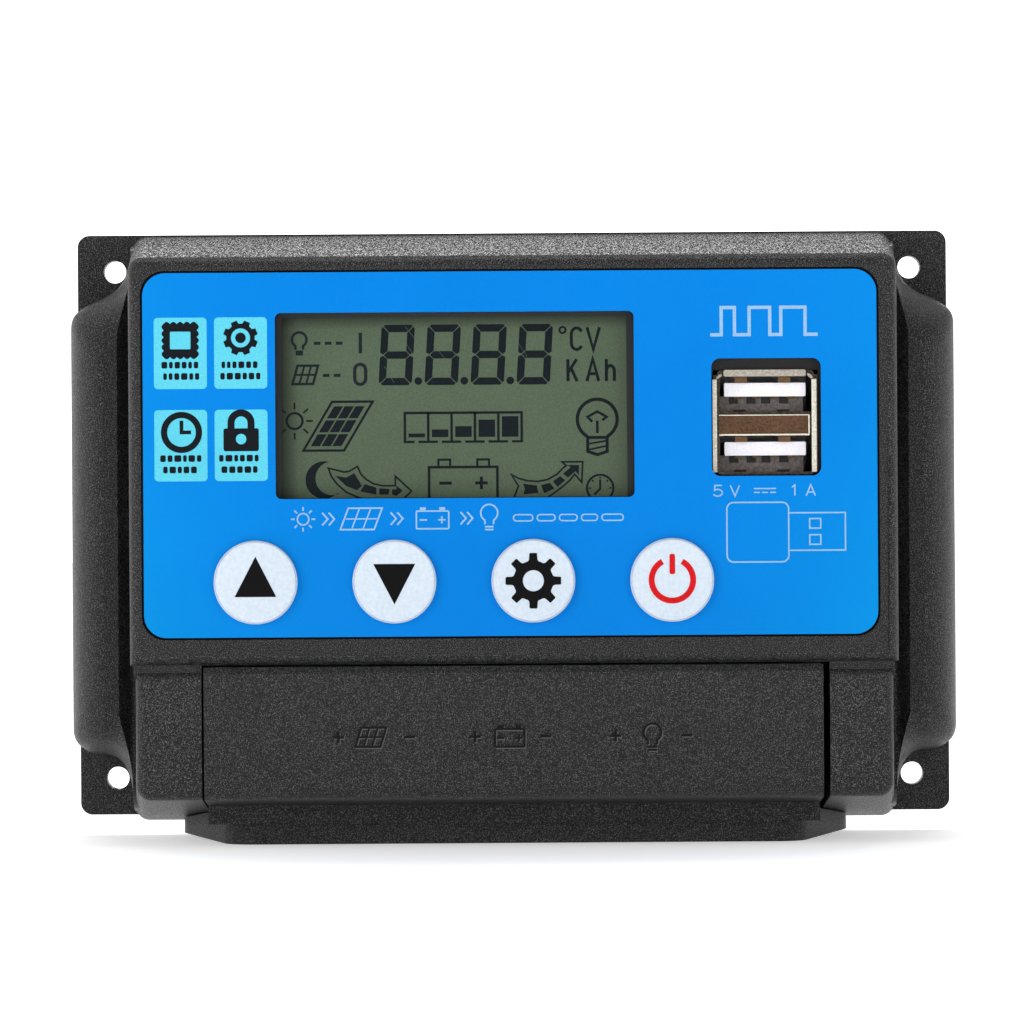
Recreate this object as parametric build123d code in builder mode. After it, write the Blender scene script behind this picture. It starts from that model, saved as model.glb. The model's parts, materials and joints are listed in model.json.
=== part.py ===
"""Wall-mounted solar charge controller with an LCD, four keys, a dual USB outlet and six screw terminals.

Frame: +X right, +Z up, front faces -Y. The wall plane is y = 0 and the origin is the centre of the
four wall holes. Sketches on front_plane(depth) are drawn in (x, z) and grow towards the front.
"""
from build123d import *
import os

# ---------------------------------------------------------------- driving dimensions (mm)
PLATE_WIDTH = 123.6
PLATE_HEIGHT = 82.4
PLATE_THICKNESS = 2.5
PLATE_CORNER = 1.7
HOLE_SPACING_X = 113.0
HOLE_SPACING_Z = 72.0
HOLE_RADIUS = 1.6

FRONT_DEPTH = 34.0
WALL = 2.0
BODY_TOP = 41.0
BODY_BOTTOM = -42.0
BODY_DRAFT = 0.149
BLOCK_HALF_WIDTH = 54.0
BLOCK_DRAFT = 0.055
BLOCK_CORNER = 2.0
EDGE_ROUND = 1.5
SHOULDER_HALF_WIDTH = 61.85
SHOULDER_CREST = 20.0
SHOULDER_SPRING = 13.0
SHOULDER_ROUND = 5.0
SHOULDER_STEPS = [0.0, 0.35, 0.6, 0.8, 0.92, 0.98, 1.0]
SHOULDER_VALLEY = 1.7
SHOULDER_END_TOP = 31.8
SHOULDER_END_BOTTOM = -32.8
SHOULDER_DRAFT = 0.1
SHOULDER_REACH = 8.0
SHOULDER_SOFT = 3.2

LABEL_X = -0.4
LABEL_Z = 9.45
LABEL_WIDTH = 100.0
LABEL_HEIGHT = 49.8
LABEL_CORNER = 3.2
LABEL_THICKNESS = 0.35
LABEL_GAP = 0.2

LCD_X = -7.9
LCD_Z = 16.1
LCD_WIDTH = 48.8
LCD_HEIGHT = 25.3
LCD_CORNER = 0.8

KEY_NAMES = ["up", "down", "settings", "power"]
KEY_PITCH = 18.87
KEY_FIRST_X = -35.1
KEY_Z = -7.85
KEY_RADIUS = 5.67
KEY_HOLE_RADIUS = 5.82
KEY_PROUD = 0.9

USB_X = 34.45
USB_Z = 13.5
USB_WIDTH = 13.2
USB_HEIGHT = 14.2
USB_WALL = 0.35
USB_MOUTH = 32.3
USB_PORT_WIDTH = 12.5
USB_PORT_HEIGHT = 5.12
USB_PORT_PITCH = 8.05
USB_OPENING_WIDTH = 14.9
USB_OPENING_HEIGHT = 16.0
USB_OPENING_Z = 14.2
USB_OPENING_CORNER = 1.2

MAIN_BOARD_BACK = 12.4
BOARD_THICKNESS = 1.6
MAIN_BOARD_FRONT = MAIN_BOARD_BACK + BOARD_THICKNESS
DISPLAY_BOARD_BACK = 22.4
DISPLAY_BOARD_FRONT = DISPLAY_BOARD_BACK + BOARD_THICKNESS

BAY_LEFT = -42.6
BAY_RIGHT = 42.9
BAY_TOP = -19.1
BAY_BACK = 14.3
CHEEK_DEPTH = 33.5
CHEEK_NARROW = 0.8
CHEEK_ROUND = 1.2
GROOVE_HEIGHT = 0.9
GROOVE_DEPTH = 32.9
COVER_DEPTH = 33.7
COVER_LEFT = -42.3
COVER_RIGHT = 42.0
COVER_TOP = -19.4

CHIN_BOTTOM = -44.2
CHIN_DEPTH = 23.4
CHIN_BACK_HALF = 46.7
CHIN_FRONT_HALF = 39.0
CHIN_CORNER = 5.0
CHIN_TIP_HALF = 40.0
CHIN_TIP_RISE = 0.9

POLE_PITCH = 9.5
POLE_COUNT = 6
POLE_Z = -31.25
POLE_XS = [(i - (POLE_COUNT - 1) / 2) * POLE_PITCH for i in range(POLE_COUNT)]
BLOCK_BOTTOM = -36.2
BLOCK_TOP = -22.5
BLOCK_FRONT = 30.0
SCREW_RADIUS = 1.5
CAGE_BACK = 15.3
CAGE_FRONT = 23.2
CAGE_WALL = 0.8

CASE_SCREW_X = 47.2
CASE_SCREW_TOP_Z = 33.0
CASE_SCREW_BOTTOM_Z = -32.5
CASE_SCREW_RADIUS = 1.25
CASE_BOSS_RADIUS = 2.9

STANDOFF_X = 39.5
STANDOFF_TOP_Z = 32.5
STANDOFF_BOTTOM_Z = -14.5
DISPLAY_SCREW_PLACES = [(-39.6, 29.0), (-39.6, 3.6), (23.9, 29.0), (23.9, 3.6)]
SMALL_SCREW_RADIUS = 1.1
PILOT_CLEARANCE = 0.05

MOSFET_XS = [-27.0, -9.0, 9.0, 27.0]
MOSFET_Z = 12.0

KEY_XS = [KEY_FIRST_X + i * KEY_PITCH for i in range(4)]
CASE_SCREW_PLACES = [(x, z) for x in (-CASE_SCREW_X, CASE_SCREW_X)
                     for z in (CASE_SCREW_TOP_Z, CASE_SCREW_BOTTOM_Z)]
STANDOFF_PLACES = [(x, z) for x in (-STANDOFF_X, STANDOFF_X)
                   for z in (STANDOFF_TOP_Z, STANDOFF_BOTTOM_Z)]

os.makedirs("parts", exist_ok=True)


# ---------------------------------------------------------------- shared helpers
def front_plane(depth):
    """Plane parallel to the wall, depth mm in front of it; extrusions grow towards the front."""
    return Plane.XZ.offset(depth)


def save(builder, name):
    """Label a finished piece and write its STEP file."""
    builder.part.label = name
    export_step(builder.part, f"parts/{name}.step")


def slab(depth_from, depth_to, width, height, place, corner=0.0, mode=Mode.ADD):
    """Plate facing the front between two depths, centred on place, with rounded corners if asked."""
    with BuildSketch(front_plane(depth_from)) as profile:
        with Locations(place):
            if corner:
                RectangleRounded(width, height, corner)
            else:
                Rectangle(width, height)
    extrude(profile.sketch, amount=depth_to - depth_from, mode=mode)


def rods(depth_from, depth_to, radius, places, mode=Mode.ADD):
    """Round rods or holes facing the front between two depths, one at each place."""
    with BuildSketch(front_plane(depth_from)) as profile:
        with Locations(*places):
            Circle(radius)
    extrude(profile.sketch, amount=depth_to - depth_from, mode=mode)


def slope_bottom(depth):
    """Height of the drafted underside of the case at a depth."""
    return BODY_BOTTOM + BODY_DRAFT * (depth - PLATE_THICKNESS)


# ---------------------------------------------------------------- outer form of the case
def block_outline(depth, inset, narrow=0.0):
    """Rounded rectangle of the central block at one depth, drawn in by inset and narrowed at the sides."""
    run = depth - PLATE_THICKNESS
    top = BODY_TOP - BODY_DRAFT * run - inset
    bottom = BODY_BOTTOM + BODY_DRAFT * run + inset
    half = BLOCK_HALF_WIDTH - BLOCK_DRAFT * run - inset - narrow
    with BuildSketch(front_plane(depth)) as outline:
        with Locations((0, (top + bottom) / 2)):
            RectangleRounded(2 * half, top - bottom, BLOCK_CORNER)
    return outline.sketch


def shoulder_outline(depth, inset, pull):
    """Outline with a bay round each wall hole and a shoulder between the two bays, drawn in by pull."""
    run = depth - PLATE_THICKNESS
    flank = BLOCK_HALF_WIDTH - BLOCK_DRAFT * run - inset
    end_top = SHOULDER_END_TOP - SHOULDER_DRAFT * run - inset - pull
    end_bottom = SHOULDER_END_BOTTOM + SHOULDER_DRAFT * run + inset + pull
    side = SHOULDER_HALF_WIDTH - inset - pull
    width = side - flank
    ledge = flank + 0.52 * width
    reach = SHOULDER_REACH
    soft = SHOULDER_SOFT
    with BuildSketch(front_plane(depth)) as outline:
        with BuildLine():
            Line((0, end_top + reach), (flank, end_top + reach))
            Bezier((flank, end_top + reach), (flank, end_top + 3.2), (flank + 0.25 * width, end_top + 1.7),
                   (flank + 0.5 * width, end_top + 0.7))
            Bezier((flank + 0.5 * width, end_top + 0.7), (flank + 0.8 * width, end_top - 0.5),
                   (side, end_top - 0.6), (side, end_top - soft))
            Line((side, end_top - soft), (side, end_bottom + soft))
            Bezier((side, end_bottom + soft), (side, end_bottom + 0.3 * soft), (side - 0.17 * width, end_bottom),
                   (ledge, end_bottom))
            Bezier((ledge, end_bottom), (flank + 0.2 * width, end_bottom), (flank, end_bottom - 2.5),
                   (flank, end_bottom - reach))
            Line((flank, end_bottom - reach), (0, end_bottom - reach))
            mirror(about=Plane.YZ)
        make_face()
    return outline.sketch


def shoulder_section(inset):
    """Plan section that sinks a soft valley between each shoulder and the central block."""
    side = SHOULDER_HALF_WIDTH + 2.0
    crest = SHOULDER_CREST + 0.1 - inset
    valley = crest - SHOULDER_VALLEY
    crest_x = SHOULDER_HALF_WIDTH - 6.5 - inset
    valley_x = BLOCK_HALF_WIDTH - 1.1 - inset
    with BuildSketch(Plane.XY.offset(-60)) as section:
        with BuildLine():
            Polyline((0, 0), (side, 0), (side, -crest), (crest_x, -crest))
            Bezier((crest_x, -crest), (crest_x - 1.0, -crest), (valley_x + 0.9, -valley), (valley_x, -valley))
            Line((valley_x, -valley), (0, -valley))
            mirror(about=Plane.YZ)
        make_face()
    return section.sketch


def central_block(inset):
    """Drafted central block of the case, drawn in by inset."""
    with BuildPart() as block:
        add(block_outline(PLATE_THICKNESS, inset))
        add(block_outline(FRONT_DEPTH - inset, inset))
        loft(ruled=True)
    return block


def upper_block():
    """Display block: the central block above the terminals, with rounded front edges."""
    with BuildPart() as block:
        add(central_block(0).part)
        slab(0, FRONT_DEPTH + 1, 130, 70, (0, BAY_TOP + 35), mode=Mode.INTERSECT)
        fillet(block.faces().sort_by(Axis.Y)[0].edges(), EDGE_ROUND)
    return block


def lower_block():
    """Terminal block: set back and a little narrower, with rounded front edges."""
    with BuildPart() as block:
        add(block_outline(PLATE_THICKNESS, 0))
        add(block_outline(CHEEK_DEPTH, 0, CHEEK_NARROW))
        loft(ruled=True)
        slab(0, FRONT_DEPTH + 1, 130, 70, (0, BAY_TOP - GROOVE_HEIGHT - 35), mode=Mode.INTERSECT)
        fillet(block.faces().sort_by(Axis.Y)[0].edges(), CHEEK_ROUND)
    return block


def groove_neck():
    """Wall at the bottom of the groove between the display block and the terminal block."""
    with BuildPart() as neck:
        add(central_block(0.5).part)
        slab(0, GROOVE_DEPTH, 130, GROOVE_HEIGHT + 2.0, (0, BAY_TOP - GROOVE_HEIGHT / 2), mode=Mode.INTERSECT)
    return neck


def shoulder_form(inset):
    """Both shoulders in one body that runs across behind the central block."""
    crest = SHOULDER_CREST - inset
    with BuildPart() as form:
        add(shoulder_outline(PLATE_THICKNESS, inset, 0.0))
        add(shoulder_outline(SHOULDER_SPRING, inset, 0.0))
        loft(ruled=True)
        for step in SHOULDER_STEPS:
            depth = SHOULDER_SPRING + (crest - SHOULDER_SPRING) * step
            add(shoulder_outline(depth, inset, SHOULDER_ROUND * (1 - (1 - step * step) ** 0.5)))
        loft()
        extrude(shoulder_section(inset), amount=120, mode=Mode.INTERSECT)
    return form


# ---------------------------------------------------------------- case
def make_rear_shell():
    """Wall plate with the chin that the unit stands on, board standoffs and a locating rim."""
    with BuildPart() as rear_shell:
        slab(0, PLATE_THICKNESS, PLATE_WIDTH, PLATE_HEIGHT, (0, 0), PLATE_CORNER)
        # chin: a tapered tongue under the case, wedge-shaped in side view
        with BuildSketch(Plane.XY.offset(CHIN_BOTTOM)):
            with BuildLine():
                FilletPolyline((-CHIN_BACK_HALF, 0), (-CHIN_BACK_HALF, -9.0),
                               (-CHIN_FRONT_HALF, -CHIN_DEPTH), (CHIN_FRONT_HALF, -CHIN_DEPTH),
                               (CHIN_BACK_HALF, -9.0), (CHIN_BACK_HALF, 0), radius=CHIN_CORNER)
                Line((CHIN_BACK_HALF, 0), (-CHIN_BACK_HALF, 0))
            make_face()
        extrude(amount=8)
        gap = 0.2
        with BuildSketch(Plane.YZ.offset(-60)):
            Polygon((-PLATE_THICKNESS, 0), (-PLATE_THICKNESS, slope_bottom(PLATE_THICKNESS) - gap),
                    (-40, slope_bottom(40) - gap), (-40, 0), align=None)
        extrude(amount=120, mode=Mode.SUBTRACT)
        # the chin's lower corners rise a little towards the sides
        with BuildSketch(front_plane(0)):
            Polygon((CHIN_TIP_HALF, CHIN_BOTTOM), (CHIN_BACK_HALF + 1, CHIN_BOTTOM + CHIN_TIP_RISE),
                    (CHIN_BACK_HALF + 1, CHIN_BOTTOM - 1), (CHIN_TIP_HALF, CHIN_BOTTOM - 1), align=None)
            mirror(about=Plane.YZ)
        extrude(amount=CHIN_DEPTH + 1, mode=Mode.SUBTRACT)
        # rim that centres the front shell
        with BuildSketch(front_plane(PLATE_THICKNESS)):
            with Locations((0, (BODY_TOP + BODY_BOTTOM) / 2)):
                RectangleRounded(2 * (BLOCK_HALF_WIDTH - WALL - 0.4), BODY_TOP - BODY_BOTTOM - 2 * WALL - 0.8, 1.2)
                RectangleRounded(2 * (BLOCK_HALF_WIDTH - WALL - 1.6), BODY_TOP - BODY_BOTTOM - 2 * WALL - 3.2,
                                 0.8, mode=Mode.SUBTRACT)
        extrude(amount=1.6)
        rods(PLATE_THICKNESS, PLATE_THICKNESS + 1.7, CASE_BOSS_RADIUS + 0.5, CASE_SCREW_PLACES,
             mode=Mode.SUBTRACT)
        rods(PLATE_THICKNESS, MAIN_BOARD_BACK, 3.0, STANDOFF_PLACES)
        rods(4.5, MAIN_BOARD_BACK, SMALL_SCREW_RADIUS + PILOT_CLEARANCE, STANDOFF_PLACES, mode=Mode.SUBTRACT)
        rods(0, PLATE_THICKNESS, CASE_SCREW_RADIUS + 0.2, CASE_SCREW_PLACES, mode=Mode.SUBTRACT)
        rods(0, 1.5, 2.8, CASE_SCREW_PLACES, mode=Mode.SUBTRACT)
        with BuildSketch(front_plane(0)):
            with GridLocations(HOLE_SPACING_X, HOLE_SPACING_Z, 2, 2):
                Circle(HOLE_RADIUS)
        extrude(amount=PLATE_THICKNESS, mode=Mode.SUBTRACT)
        # wire entries through the chin, one under each terminal
        with BuildSketch(Plane.XY.offset(CHIN_BOTTOM)):
            with Locations(*[(x, -18.2) for x in POLE_XS]):
                RectangleRounded(7.2, 6.8, 1.0)
        extrude(amount=8, mode=Mode.SUBTRACT)
    save(rear_shell, "rear_shell")


def make_front_shell():
    """Hollow front case with shoulders, label recess, LCD, key and USB openings and terminal bay."""
    block_hollow = central_block(WALL)
    shoulders = shoulder_form(0)
    shoulders_hollow = shoulder_form(WALL)
    bay_width = BAY_RIGHT - BAY_LEFT
    bay_x = (BAY_RIGHT + BAY_LEFT) / 2
    with BuildPart() as bay_walls:
        add(central_block(WALL / 2).part)
        slab(BAY_BACK, CHEEK_DEPTH - 1.0, bay_width + 3.6, 40, (bay_x, BAY_TOP + 1.8 - 20), mode=Mode.INTERSECT)
    with BuildPart() as front_shell:
        add(upper_block().part)
        add(lower_block().part)
        add(groove_neck().part)
        add(shoulders.part)
        add(block_hollow.part, mode=Mode.SUBTRACT)
        add(shoulders_hollow.part, mode=Mode.SUBTRACT)
        add(bay_walls.part)
        slab(BAY_BACK - 1, FRONT_DEPTH + 2, bay_width, 40, (bay_x, BAY_TOP - 20), mode=Mode.SUBTRACT)
        # screw bosses: long ones for the case, short ones for the display board
        rods(PLATE_THICKNESS, FRONT_DEPTH - 1.2, CASE_BOSS_RADIUS, CASE_SCREW_PLACES)
        rods(DISPLAY_BOARD_FRONT, FRONT_DEPTH - 1.2, 2.6, DISPLAY_SCREW_PLACES)
        rods(PLATE_THICKNESS, 14.0, CASE_SCREW_RADIUS + PILOT_CLEARANCE, CASE_SCREW_PLACES, mode=Mode.SUBTRACT)
        rods(DISPLAY_BOARD_FRONT, 30.0, SMALL_SCREW_RADIUS + PILOT_CLEARANCE, DISPLAY_SCREW_PLACES,
             mode=Mode.SUBTRACT)
        # openings in the face
        slab(FRONT_DEPTH - LABEL_THICKNESS, FRONT_DEPTH + 1, LABEL_WIDTH + 2 * LABEL_GAP,
             LABEL_HEIGHT + 2 * LABEL_GAP, (LABEL_X, LABEL_Z), LABEL_CORNER, Mode.SUBTRACT)
        slab(30, FRONT_DEPTH + 1, LCD_WIDTH, LCD_HEIGHT, (LCD_X, LCD_Z), LCD_CORNER, Mode.SUBTRACT)
        slab(30, FRONT_DEPTH + 1, USB_OPENING_WIDTH, USB_OPENING_HEIGHT, (USB_X, USB_OPENING_Z),
             USB_OPENING_CORNER, Mode.SUBTRACT)
        rods(30, FRONT_DEPTH + 1, KEY_HOLE_RADIUS, [(x, KEY_Z) for x in KEY_XS], Mode.SUBTRACT)
    save(front_shell, "front_shell")


def make_face_label():
    """Printed polycarbonate overlay with windows for the LCD, the USB outlet and the keys."""
    with BuildPart() as face_label:
        slab(FRONT_DEPTH - LABEL_THICKNESS, FRONT_DEPTH - 0.02, LABEL_WIDTH, LABEL_HEIGHT, (LABEL_X, LABEL_Z),
             LABEL_CORNER)
        slab(30, FRONT_DEPTH + 1, LCD_WIDTH, LCD_HEIGHT, (LCD_X, LCD_Z), LCD_CORNER, Mode.SUBTRACT)
        slab(30, FRONT_DEPTH + 1, USB_OPENING_WIDTH, USB_OPENING_HEIGHT, (USB_X, USB_OPENING_Z),
             USB_OPENING_CORNER, Mode.SUBTRACT)
        rods(30, FRONT_DEPTH + 1, KEY_HOLE_RADIUS, [(x, KEY_Z) for x in KEY_XS], Mode.SUBTRACT)
    save(face_label, "face_label")


def make_terminal_cover():
    """Snap-off cover over the terminals: front plate, drafted underside, hanging lip and end ribs."""
    width = COVER_RIGHT - COVER_LEFT
    thickness = 1.6
    back = COVER_DEPTH - thickness
    lip_front = CHIN_DEPTH + 1.3
    lip_back = CHIN_DEPTH + 0.3
    under_front = slope_bottom(31.5)
    under_back = slope_bottom(lip_front)
    with BuildPart() as terminal_cover:
        with BuildSketch(Plane.YZ.offset(COVER_LEFT)):
            with BuildLine():
                Polyline((-back, COVER_TOP), (-COVER_DEPTH + 0.5, COVER_TOP), (-COVER_DEPTH, COVER_TOP - 0.9))
                Line((-COVER_DEPTH, COVER_TOP - 0.9), (-COVER_DEPTH, -35.9))
                Bezier((-COVER_DEPTH, -35.9), (-COVER_DEPTH, -37.0), (-32.9, under_front - 0.15),
                       (-31.5, under_front))
                Polyline((-31.5, under_front), (-lip_front, under_back), (-lip_front, -41.3),
                         (-lip_back, -41.3), (-lip_back, under_back + 1.0), (-31.0, under_front + 1.0),
                         (-back, -34.9), (-back, COVER_TOP))
            make_face()
        extrude(amount=width)
        # end ribs with snap noses that catch behind the bay walls
        for x in (COVER_LEFT, COVER_RIGHT - 1.4):
            with BuildSketch(Plane.YZ.offset(x)):
                Polygon((-back, COVER_TOP - 1.2), (-24.0, COVER_TOP - 4.0), (-24.0, -36.0), (-back, -35.2),
                        align=None)
            extrude(amount=1.4)
    save(terminal_cover, "terminal_cover")


# ---------------------------------------------------------------- boards and display
def make_main_board():
    """Power board with cut-outs for the terminal legs, transistor leads and screws."""
    with BuildPart() as main_board:
        slab(MAIN_BOARD_BACK, MAIN_BOARD_FRONT, 86.4, 73.0, (0, -1.0), 1.0)
        rods(MAIN_BOARD_BACK, MAIN_BOARD_FRONT, 1.6, STANDOFF_PLACES, Mode.SUBTRACT)
        with BuildSketch(front_plane(MAIN_BOARD_BACK)):
            with Locations(*[(x, BLOCK_TOP - 2.0) for x in POLE_XS]):
                Rectangle(4.6, 1.4)
            with Locations(*[(x + k * 2.54, MOSFET_Z - 11.0) for x in MOSFET_XS for k in (-1, 0, 1)]):
                Rectangle(1.1, 0.9)
        extrude(amount=BOARD_THICKNESS, mode=Mode.SUBTRACT)
    save(main_board, "main_board")


def make_display_board():
    """Board behind the face that carries the LCD and the four key switches."""
    with BuildPart() as display_board:
        slab(DISPLAY_BOARD_BACK, DISPLAY_BOARD_FRONT, 69.0, 48.0, (-7.9, 8.6), 1.0)
        rods(DISPLAY_BOARD_BACK, DISPLAY_BOARD_FRONT, 1.3, DISPLAY_SCREW_PLACES, Mode.SUBTRACT)
    save(display_board, "display_board")


def make_lcd_stack():
    """LCD frame, glass, backlight and the zebra strip that joins glass and board."""
    with BuildPart() as lcd_frame:
        slab(DISPLAY_BOARD_FRONT, 31.8, 58.0, 31.0, (LCD_X, LCD_Z), 0.8)
        slab(DISPLAY_BOARD_FRONT - 1, 31.05, 54.4, 28.2, (LCD_X, LCD_Z), mode=Mode.SUBTRACT)
        slab(30, 33, 50.4, 26.6, (LCD_X, LCD_Z), mode=Mode.SUBTRACT)
    save(lcd_frame, "lcd_frame")
    with BuildPart() as lcd_glass:
        slab(28.8, 31.0, 54.0, 27.8, (LCD_X, LCD_Z), 0.3)
    save(lcd_glass, "lcd_glass")
    with BuildPart() as lcd_backlight:
        slab(25.4, 28.6, 54.0, 25.4, (LCD_X, LCD_Z + 1.2), 0.3)
        slab(DISPLAY_BOARD_FRONT, 25.4, 3.0, 3.0, (LCD_X - 20, LCD_Z + 6))
        slab(DISPLAY_BOARD_FRONT, 25.4, 3.0, 3.0, (LCD_X + 20, LCD_Z + 6))
    save(lcd_backlight, "lcd_backlight")
    with BuildPart() as zebra_strip:
        slab(DISPLAY_BOARD_FRONT, 28.8, 50.0, 1.8, (LCD_X, LCD_Z - 12.8), 0.2)
    save(zebra_strip, "zebra_strip")


def make_board_header():
    """Pin header that joins the two boards: a plastic body and two rows of pins."""
    with BuildPart() as board_header:
        slab(MAIN_BOARD_FRONT, DISPLAY_BOARD_BACK, 25.4, 5.0, (-8.0, 27.0), 0.4)
        with BuildSketch(front_plane(MAIN_BOARD_FRONT)):
            with Locations((-8.0, 27.0)):
                with GridLocations(2.54, 5.0, 9, 2):
                    RegularPolygon(0.45, 4, rotation=0)
        extrude(amount=DISPLAY_BOARD_BACK - MAIN_BOARD_FRONT, mode=Mode.SUBTRACT)
    save(board_header, "board_header")


def make_main_board_parts():
    """Transistors with their heat spreader, capacitors, inductor, shunt and chips."""
    with BuildPart() as power_transistors:
        slab(9.1, MAIN_BOARD_BACK - 0.1, 10.0, 9.2, (MOSFET_XS[0], MOSFET_Z), 0.4)
        for x in MOSFET_XS[1:]:
            slab(9.1, MAIN_BOARD_BACK - 0.1, 10.0, 9.2, (x, MOSFET_Z), 0.4)
    save(power_transistors, "power_transistors")
    with BuildPart() as transistor_tabs:
        for x in MOSFET_XS:
            slab(7.8, 9.1, 10.0, 15.4, (x, MOSFET_Z + 3.1), 0.5)
            rods(7.8, 9.1, 1.8, [(x, MOSFET_Z + 8.0)], Mode.SUBTRACT)
    save(transistor_tabs, "transistor_tabs")
    with BuildPart() as transistor_leads:
        for x in MOSFET_XS:
            for k in (-1, 0, 1):
                slab(10.2, 10.7, 0.8, 6.8, (x + k * 2.54, MOSFET_Z - 8.0))
                slab(10.7, MAIN_BOARD_FRONT + 1.0, 0.8, 0.6, (x + k * 2.54, MOSFET_Z - 11.0))
    save(transistor_leads, "transistor_leads")
    with BuildPart() as heat_spreader:
        slab(4.6, 7.8, 70.0, 16.0, (0, MOSFET_Z + 3.0), 1.0)
        rods(6.0, 7.8, 1.3, [(x, MOSFET_Z + 8.0) for x in MOSFET_XS], Mode.SUBTRACT)
    save(heat_spreader, "heat_spreader")
    with BuildPart() as thermal_pad:
        slab(PLATE_THICKNESS, 4.6, 66.0, 13.0, (0, MOSFET_Z + 3.0), 0.5)
    save(thermal_pad, "thermal_pad")
    for name, place, radius, height in (("input_capacitor", (34.8, -5.5), 5.0, 13.5),
                                        ("output_capacitor", (33.6, 28.2), 4.0, 11.5)):
        with BuildPart() as capacitor:
            rods(MAIN_BOARD_FRONT, MAIN_BOARD_FRONT + height, radius, [place])
            top = capacitor.faces().sort_by(Axis.Y)[0]
            fillet(top.edges(), 0.5)
            with BuildSketch(front_plane(MAIN_BOARD_FRONT + height - 0.3)):
                with Locations(place):
                    Rectangle(radius * 1.3, 0.4)
                    Rectangle(0.4, radius * 1.3)
            extrude(amount=0.3, mode=Mode.SUBTRACT)
            with BuildSketch(front_plane(MAIN_BOARD_FRONT + 1.4)):
                with Locations(place):
                    Circle(radius + 0.01)
                    Circle(radius - 0.35, mode=Mode.SUBTRACT)
            extrude(amount=0.7, mode=Mode.SUBTRACT)
        save(capacitor, name)
    with BuildPart() as power_inductor:
        slab(MAIN_BOARD_FRONT, MAIN_BOARD_FRONT + 5.0, 11.0, 11.0, (14.0, 8.0), 2.2)
        rods(MAIN_BOARD_FRONT + 4.2, MAIN_BOARD_FRONT + 5.0, 3.8, [(14.0, 8.0)], Mode.SUBTRACT)
    save(power_inductor, "power_inductor")
    with BuildPart() as current_shunt:
        with BuildSketch(Plane.XY.offset(-12.0)):
            with BuildLine():
                FilletPolyline((-9.0, -MAIN_BOARD_FRONT), (-9.0, -MAIN_BOARD_FRONT - 4.0),
                               (5.0, -MAIN_BOARD_FRONT - 4.0), (5.0, -MAIN_BOARD_FRONT), radius=1.8)
                Line((5.0, -MAIN_BOARD_FRONT), (3.6, -MAIN_BOARD_FRONT))
                FilletPolyline((3.6, -MAIN_BOARD_FRONT), (3.6, -MAIN_BOARD_FRONT - 2.6),
                               (-7.6, -MAIN_BOARD_FRONT - 2.6), (-7.6, -MAIN_BOARD_FRONT), radius=0.8)
                Line((-7.6, -MAIN_BOARD_FRONT), (-9.0, -MAIN_BOARD_FRONT))
            make_face()
        extrude(amount=1.6)
    save(current_shunt, "current_shunt")
    with BuildPart() as regulator_chip:
        slab(MAIN_BOARD_FRONT + 0.1, MAIN_BOARD_FRONT + 1.7, 5.0, 4.0, (-4.0, 8.0), 0.2)
        for k in range(4):
            for side in (-1, 1):
                slab(MAIN_BOARD_FRONT, MAIN_BOARD_FRONT + 0.5, 0.45, 1.2,
                     (-4.0 + (k - 1.5) * 1.27, 8.0 + side * 2.4))
    save(regulator_chip, "regulator_chip")
    with BuildPart() as controller_chip:
        slab(DISPLAY_BOARD_BACK - 1.6, DISPLAY_BOARD_BACK - 0.1, 10.0, 10.0, (-22.0, 8.0), 0.3)
        for k in range(11):
            for side in (-1, 1):
                offset_along = (k - 5) * 0.8
                slab(DISPLAY_BOARD_BACK - 0.5, DISPLAY_BOARD_BACK, 0.35, 1.2,
                     (-22.0 + offset_along, 8.0 + side * 5.4))
                slab(DISPLAY_BOARD_BACK - 0.5, DISPLAY_BOARD_BACK, 1.2, 0.35,
                     (-22.0 + side * 5.4, 8.0 + offset_along))
    save(controller_chip, "controller_chip")


# ---------------------------------------------------------------- keys
def make_keys():
    """Four key caps with retaining flanges, and the key switches they press."""
    switch_top = DISPLAY_BOARD_FRONT + 3.5
    plunger_top = DISPLAY_BOARD_FRONT + 5.1
    for name, x in zip(KEY_NAMES, KEY_XS):
        place = (x, KEY_Z)
        with BuildPart() as key_cap:
            rods(31.0, FRONT_DEPTH + KEY_PROUD, KEY_RADIUS, [place])
            face_edge = key_cap.faces().sort_by(Axis.Y)[0].edges()
            fillet(face_edge, 0.45)
            rods(30.5, 31.6, 6.8, [place])
            rods(plunger_top, 30.6, 2.2, [place])
        save(key_cap, f"key_{name}")
        with BuildPart() as switch_plunger:
            rods(DISPLAY_BOARD_FRONT + 2.3, plunger_top, 1.7, [place])
        save(switch_plunger, f"switch_plunger_{name}")
        with BuildPart() as key_switch:
            slab(DISPLAY_BOARD_FRONT, switch_top, 6.2, 6.2, place, 0.3)
            rods(DISPLAY_BOARD_FRONT + 1.4, switch_top, 1.9, [place], Mode.SUBTRACT)
            for corner in ((-2.6, 3.5), (2.6, 3.5), (-2.6, -3.5), (2.6, -3.5)):
                slab(DISPLAY_BOARD_FRONT, DISPLAY_BOARD_FRONT + 1.8, 0.7, 1.0,
                     (x + corner[0], KEY_Z + corner[1]))
        save(key_switch, f"key_switch_{name}")


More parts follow.
